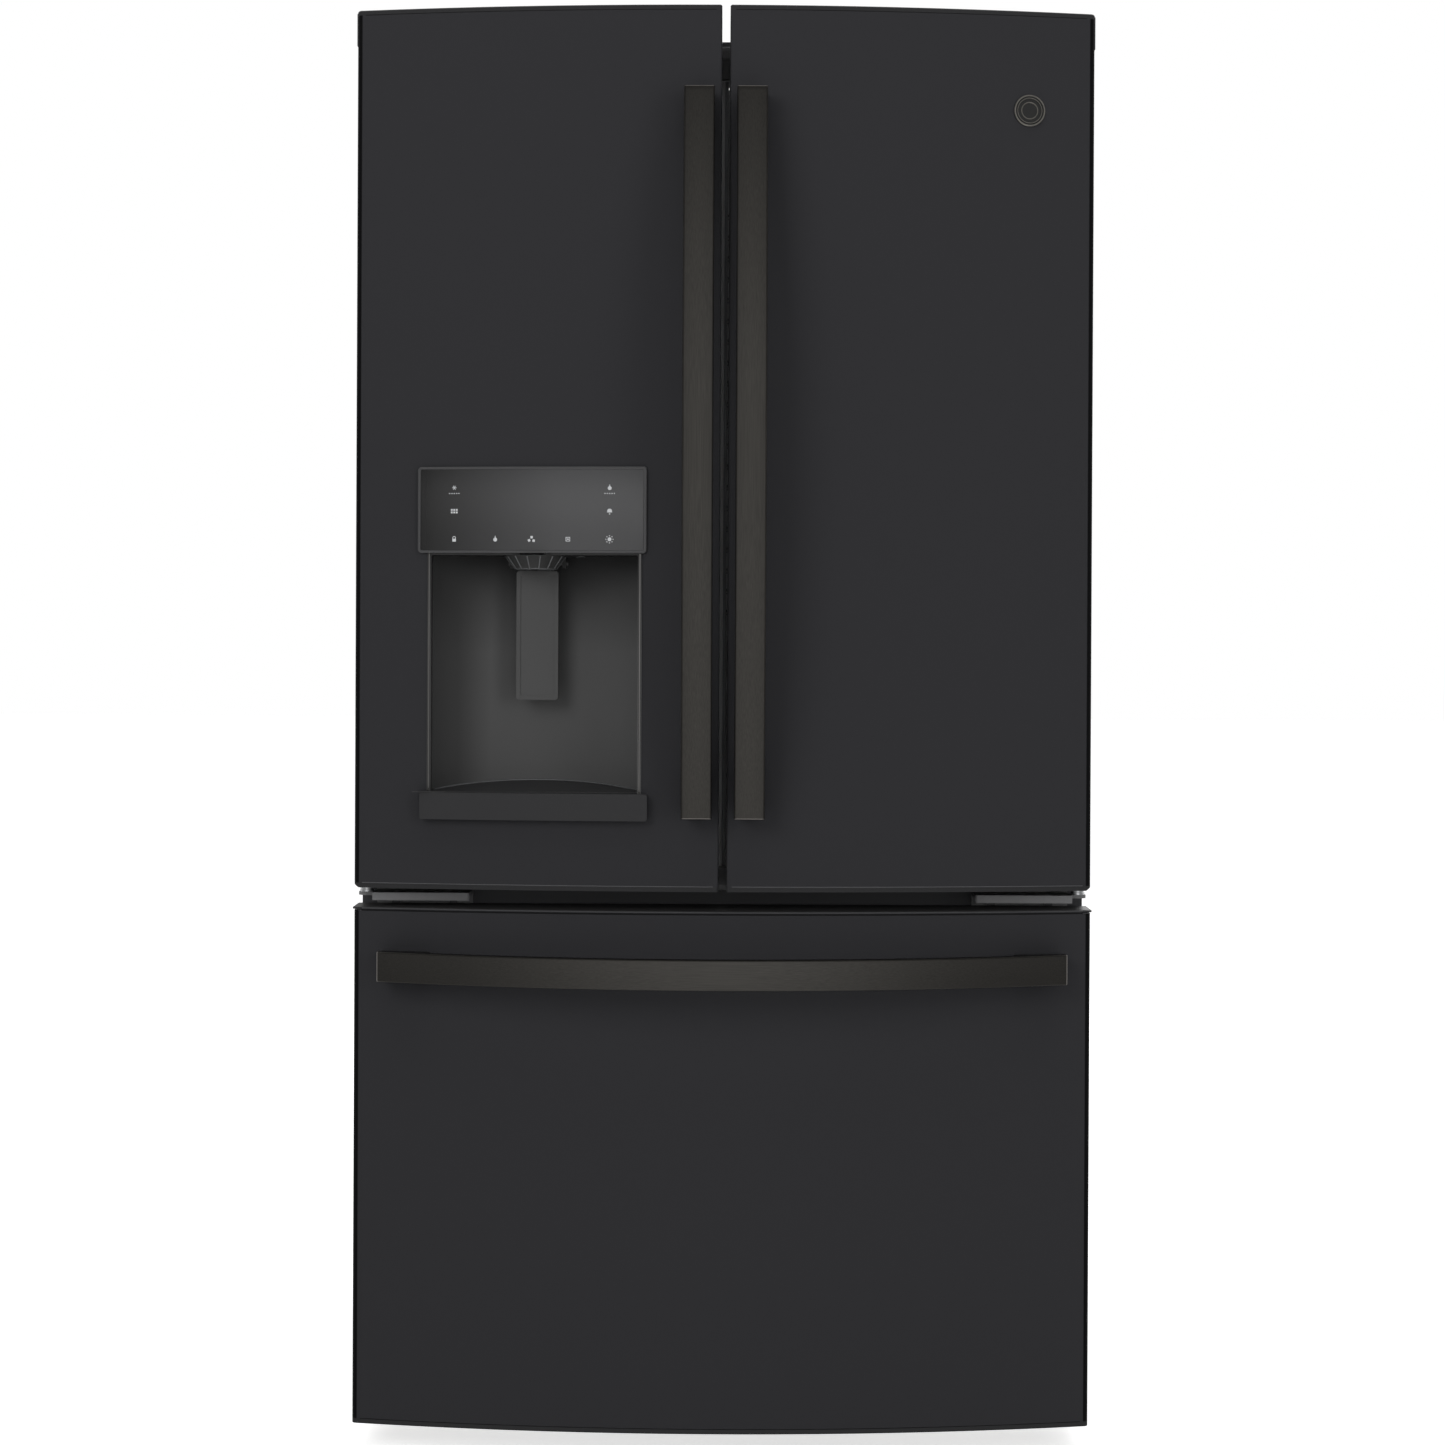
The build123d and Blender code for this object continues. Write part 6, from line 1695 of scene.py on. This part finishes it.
sheet_low, sheet_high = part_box("back_panel")
sheet_face = sheet_high.y - 0.0006
rib_low, rib_high = sheet_low.z + RIB_END, sheet_high.z - RIB_END
rear = box_piece("rear_sheet", sheet_low, (sheet_high.x, sheet_face, sheet_high.z))
for x in (-RIB_OUTER, -RIB_INNER, RIB_INNER, RIB_OUTER):
    pick(rear, kind="VERT")
    bpy.ops.mesh.bisect(plane_co=(x, 0, 0), plane_no=(1, 0, 0))
for z in (rib_low, rib_high):
    pick(rear, kind="VERT")
    bpy.ops.mesh.bisect(plane_co=(0, 0, z), plane_no=(0, 0, 1))
clear()


def on_rib(face):
    """A face between the rib's cuts, on the outside of the sheet."""
    centre = face.calc_center_median()
    inside = rib_low < centre.z < rib_high and RIB_INNER < abs(centre.x) < RIB_OUTER
    return face.normal.y > 0.9 and inside


ribs = pick(rear, on_rib)
bpy.ops.mesh.inset(thickness=0.0060, depth=0.0005, use_individual=True)
clear()
hand_over(rounded(rear, 0.0002, 1, 60), galvanised, "cabinet")
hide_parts("back_panel")
print("ribs", ribs)

# %% [markdown]
# A screw is a low domed head with a cross recess.  One is turned from a disc, its cross is let in
# with two thin dark bars, painted shade for the recess, and it is copied along the edges.

# %% Screws round the sheet
CROSS_LONG, CROSS_THIN = 0.0022, 0.0005
COLUMN_ZS, COLUMN_XS = (0.320, 0.560, 0.800, 1.040, 1.280, 1.520, 1.735), (-0.440, 0.440)
ROW_ZS, ROW_XS = (0.312, 1.742), (-0.300, -0.150, 0.0, 0.150, 0.300)

head = disc_piece("screw", (0, sheet_face + 0.00015, 0), 0.0048, 0.0006, (0, 1, 0), 24)
pushed(head, (0, 1, 0), 0.0012, (0, 0.00012, 0))
arms = []
for x, z in ((CROSS_LONG, CROSS_THIN), (CROSS_THIN, CROSS_LONG)):
    low, high = (-x, sheet_face + 0.00040, -z), (x, sheet_face + 0.00060, z)
    arms.append(box_piece("cross_arm", low, high))
cross = joined("cross", arms)
places = [(x, z) for x in COLUMN_XS for z in COLUMN_ZS] + [(x, z) for z in ROW_ZS for x in ROW_XS]
# The crosses are dark bars: painted shade for the recess.
for name, pattern, finish in (
    ("rear_screws", head, zinc), ("rear_screw_crosses", cross, dark_joint)
):
    copies = [copy_at(pattern, (x, 0, z)) for x, z in places]
    bpy.data.objects.remove(pattern)
    hand_over(joined(name, copies), finish, "cabinet")

# %% [markdown]
# A data label is glued to the sheet.  Here it is blank but for a few grey rules.

# %% Blank label
RULES_WIDE = (0.096, 0.070, 0.110, 0.054, 0.088)
RULES_X, RULES_TOP, RULES_STEP = -0.066, 0.486, 0.0125

label_low, label_high = (-0.075, sheet_face - 0.0002, 0.420), (0.055, sheet_face + 0.00015, 0.500)
label = round_corners(box_piece("label", label_low, label_high), 0.004, 4)
hand_over(label, label_paper, "cabinet")
rules = []
for i, wide in enumerate(RULES_WIDE):
    z = RULES_TOP - i * RULES_STEP
    low = (RULES_X, sheet_face + 0.0001, z - 0.0010)
    high = (RULES_X + wide, sheet_face + 0.00022, z + 0.0010)
    rules.append(box_piece("rule", low, high))
hand_over(joined("label_rules", rules), trim_grey, "cabinet")

# %% [markdown]
# ## Measure and finish
#
# The box of the frame and the box of the dressed model are printed one after the other.

# %% Sizes, and the end
dressed_low, dressed_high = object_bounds()
sizes = {
    "cad": [list(cad_low), list(cad_high)],
    "visual": [list(dressed_low), list(dressed_high)],
}
print("frame", [round(v, 4) for v in cad_high - cad_low])
print("dressed", [round(v, 4) for v in dressed_high - dressed_low])
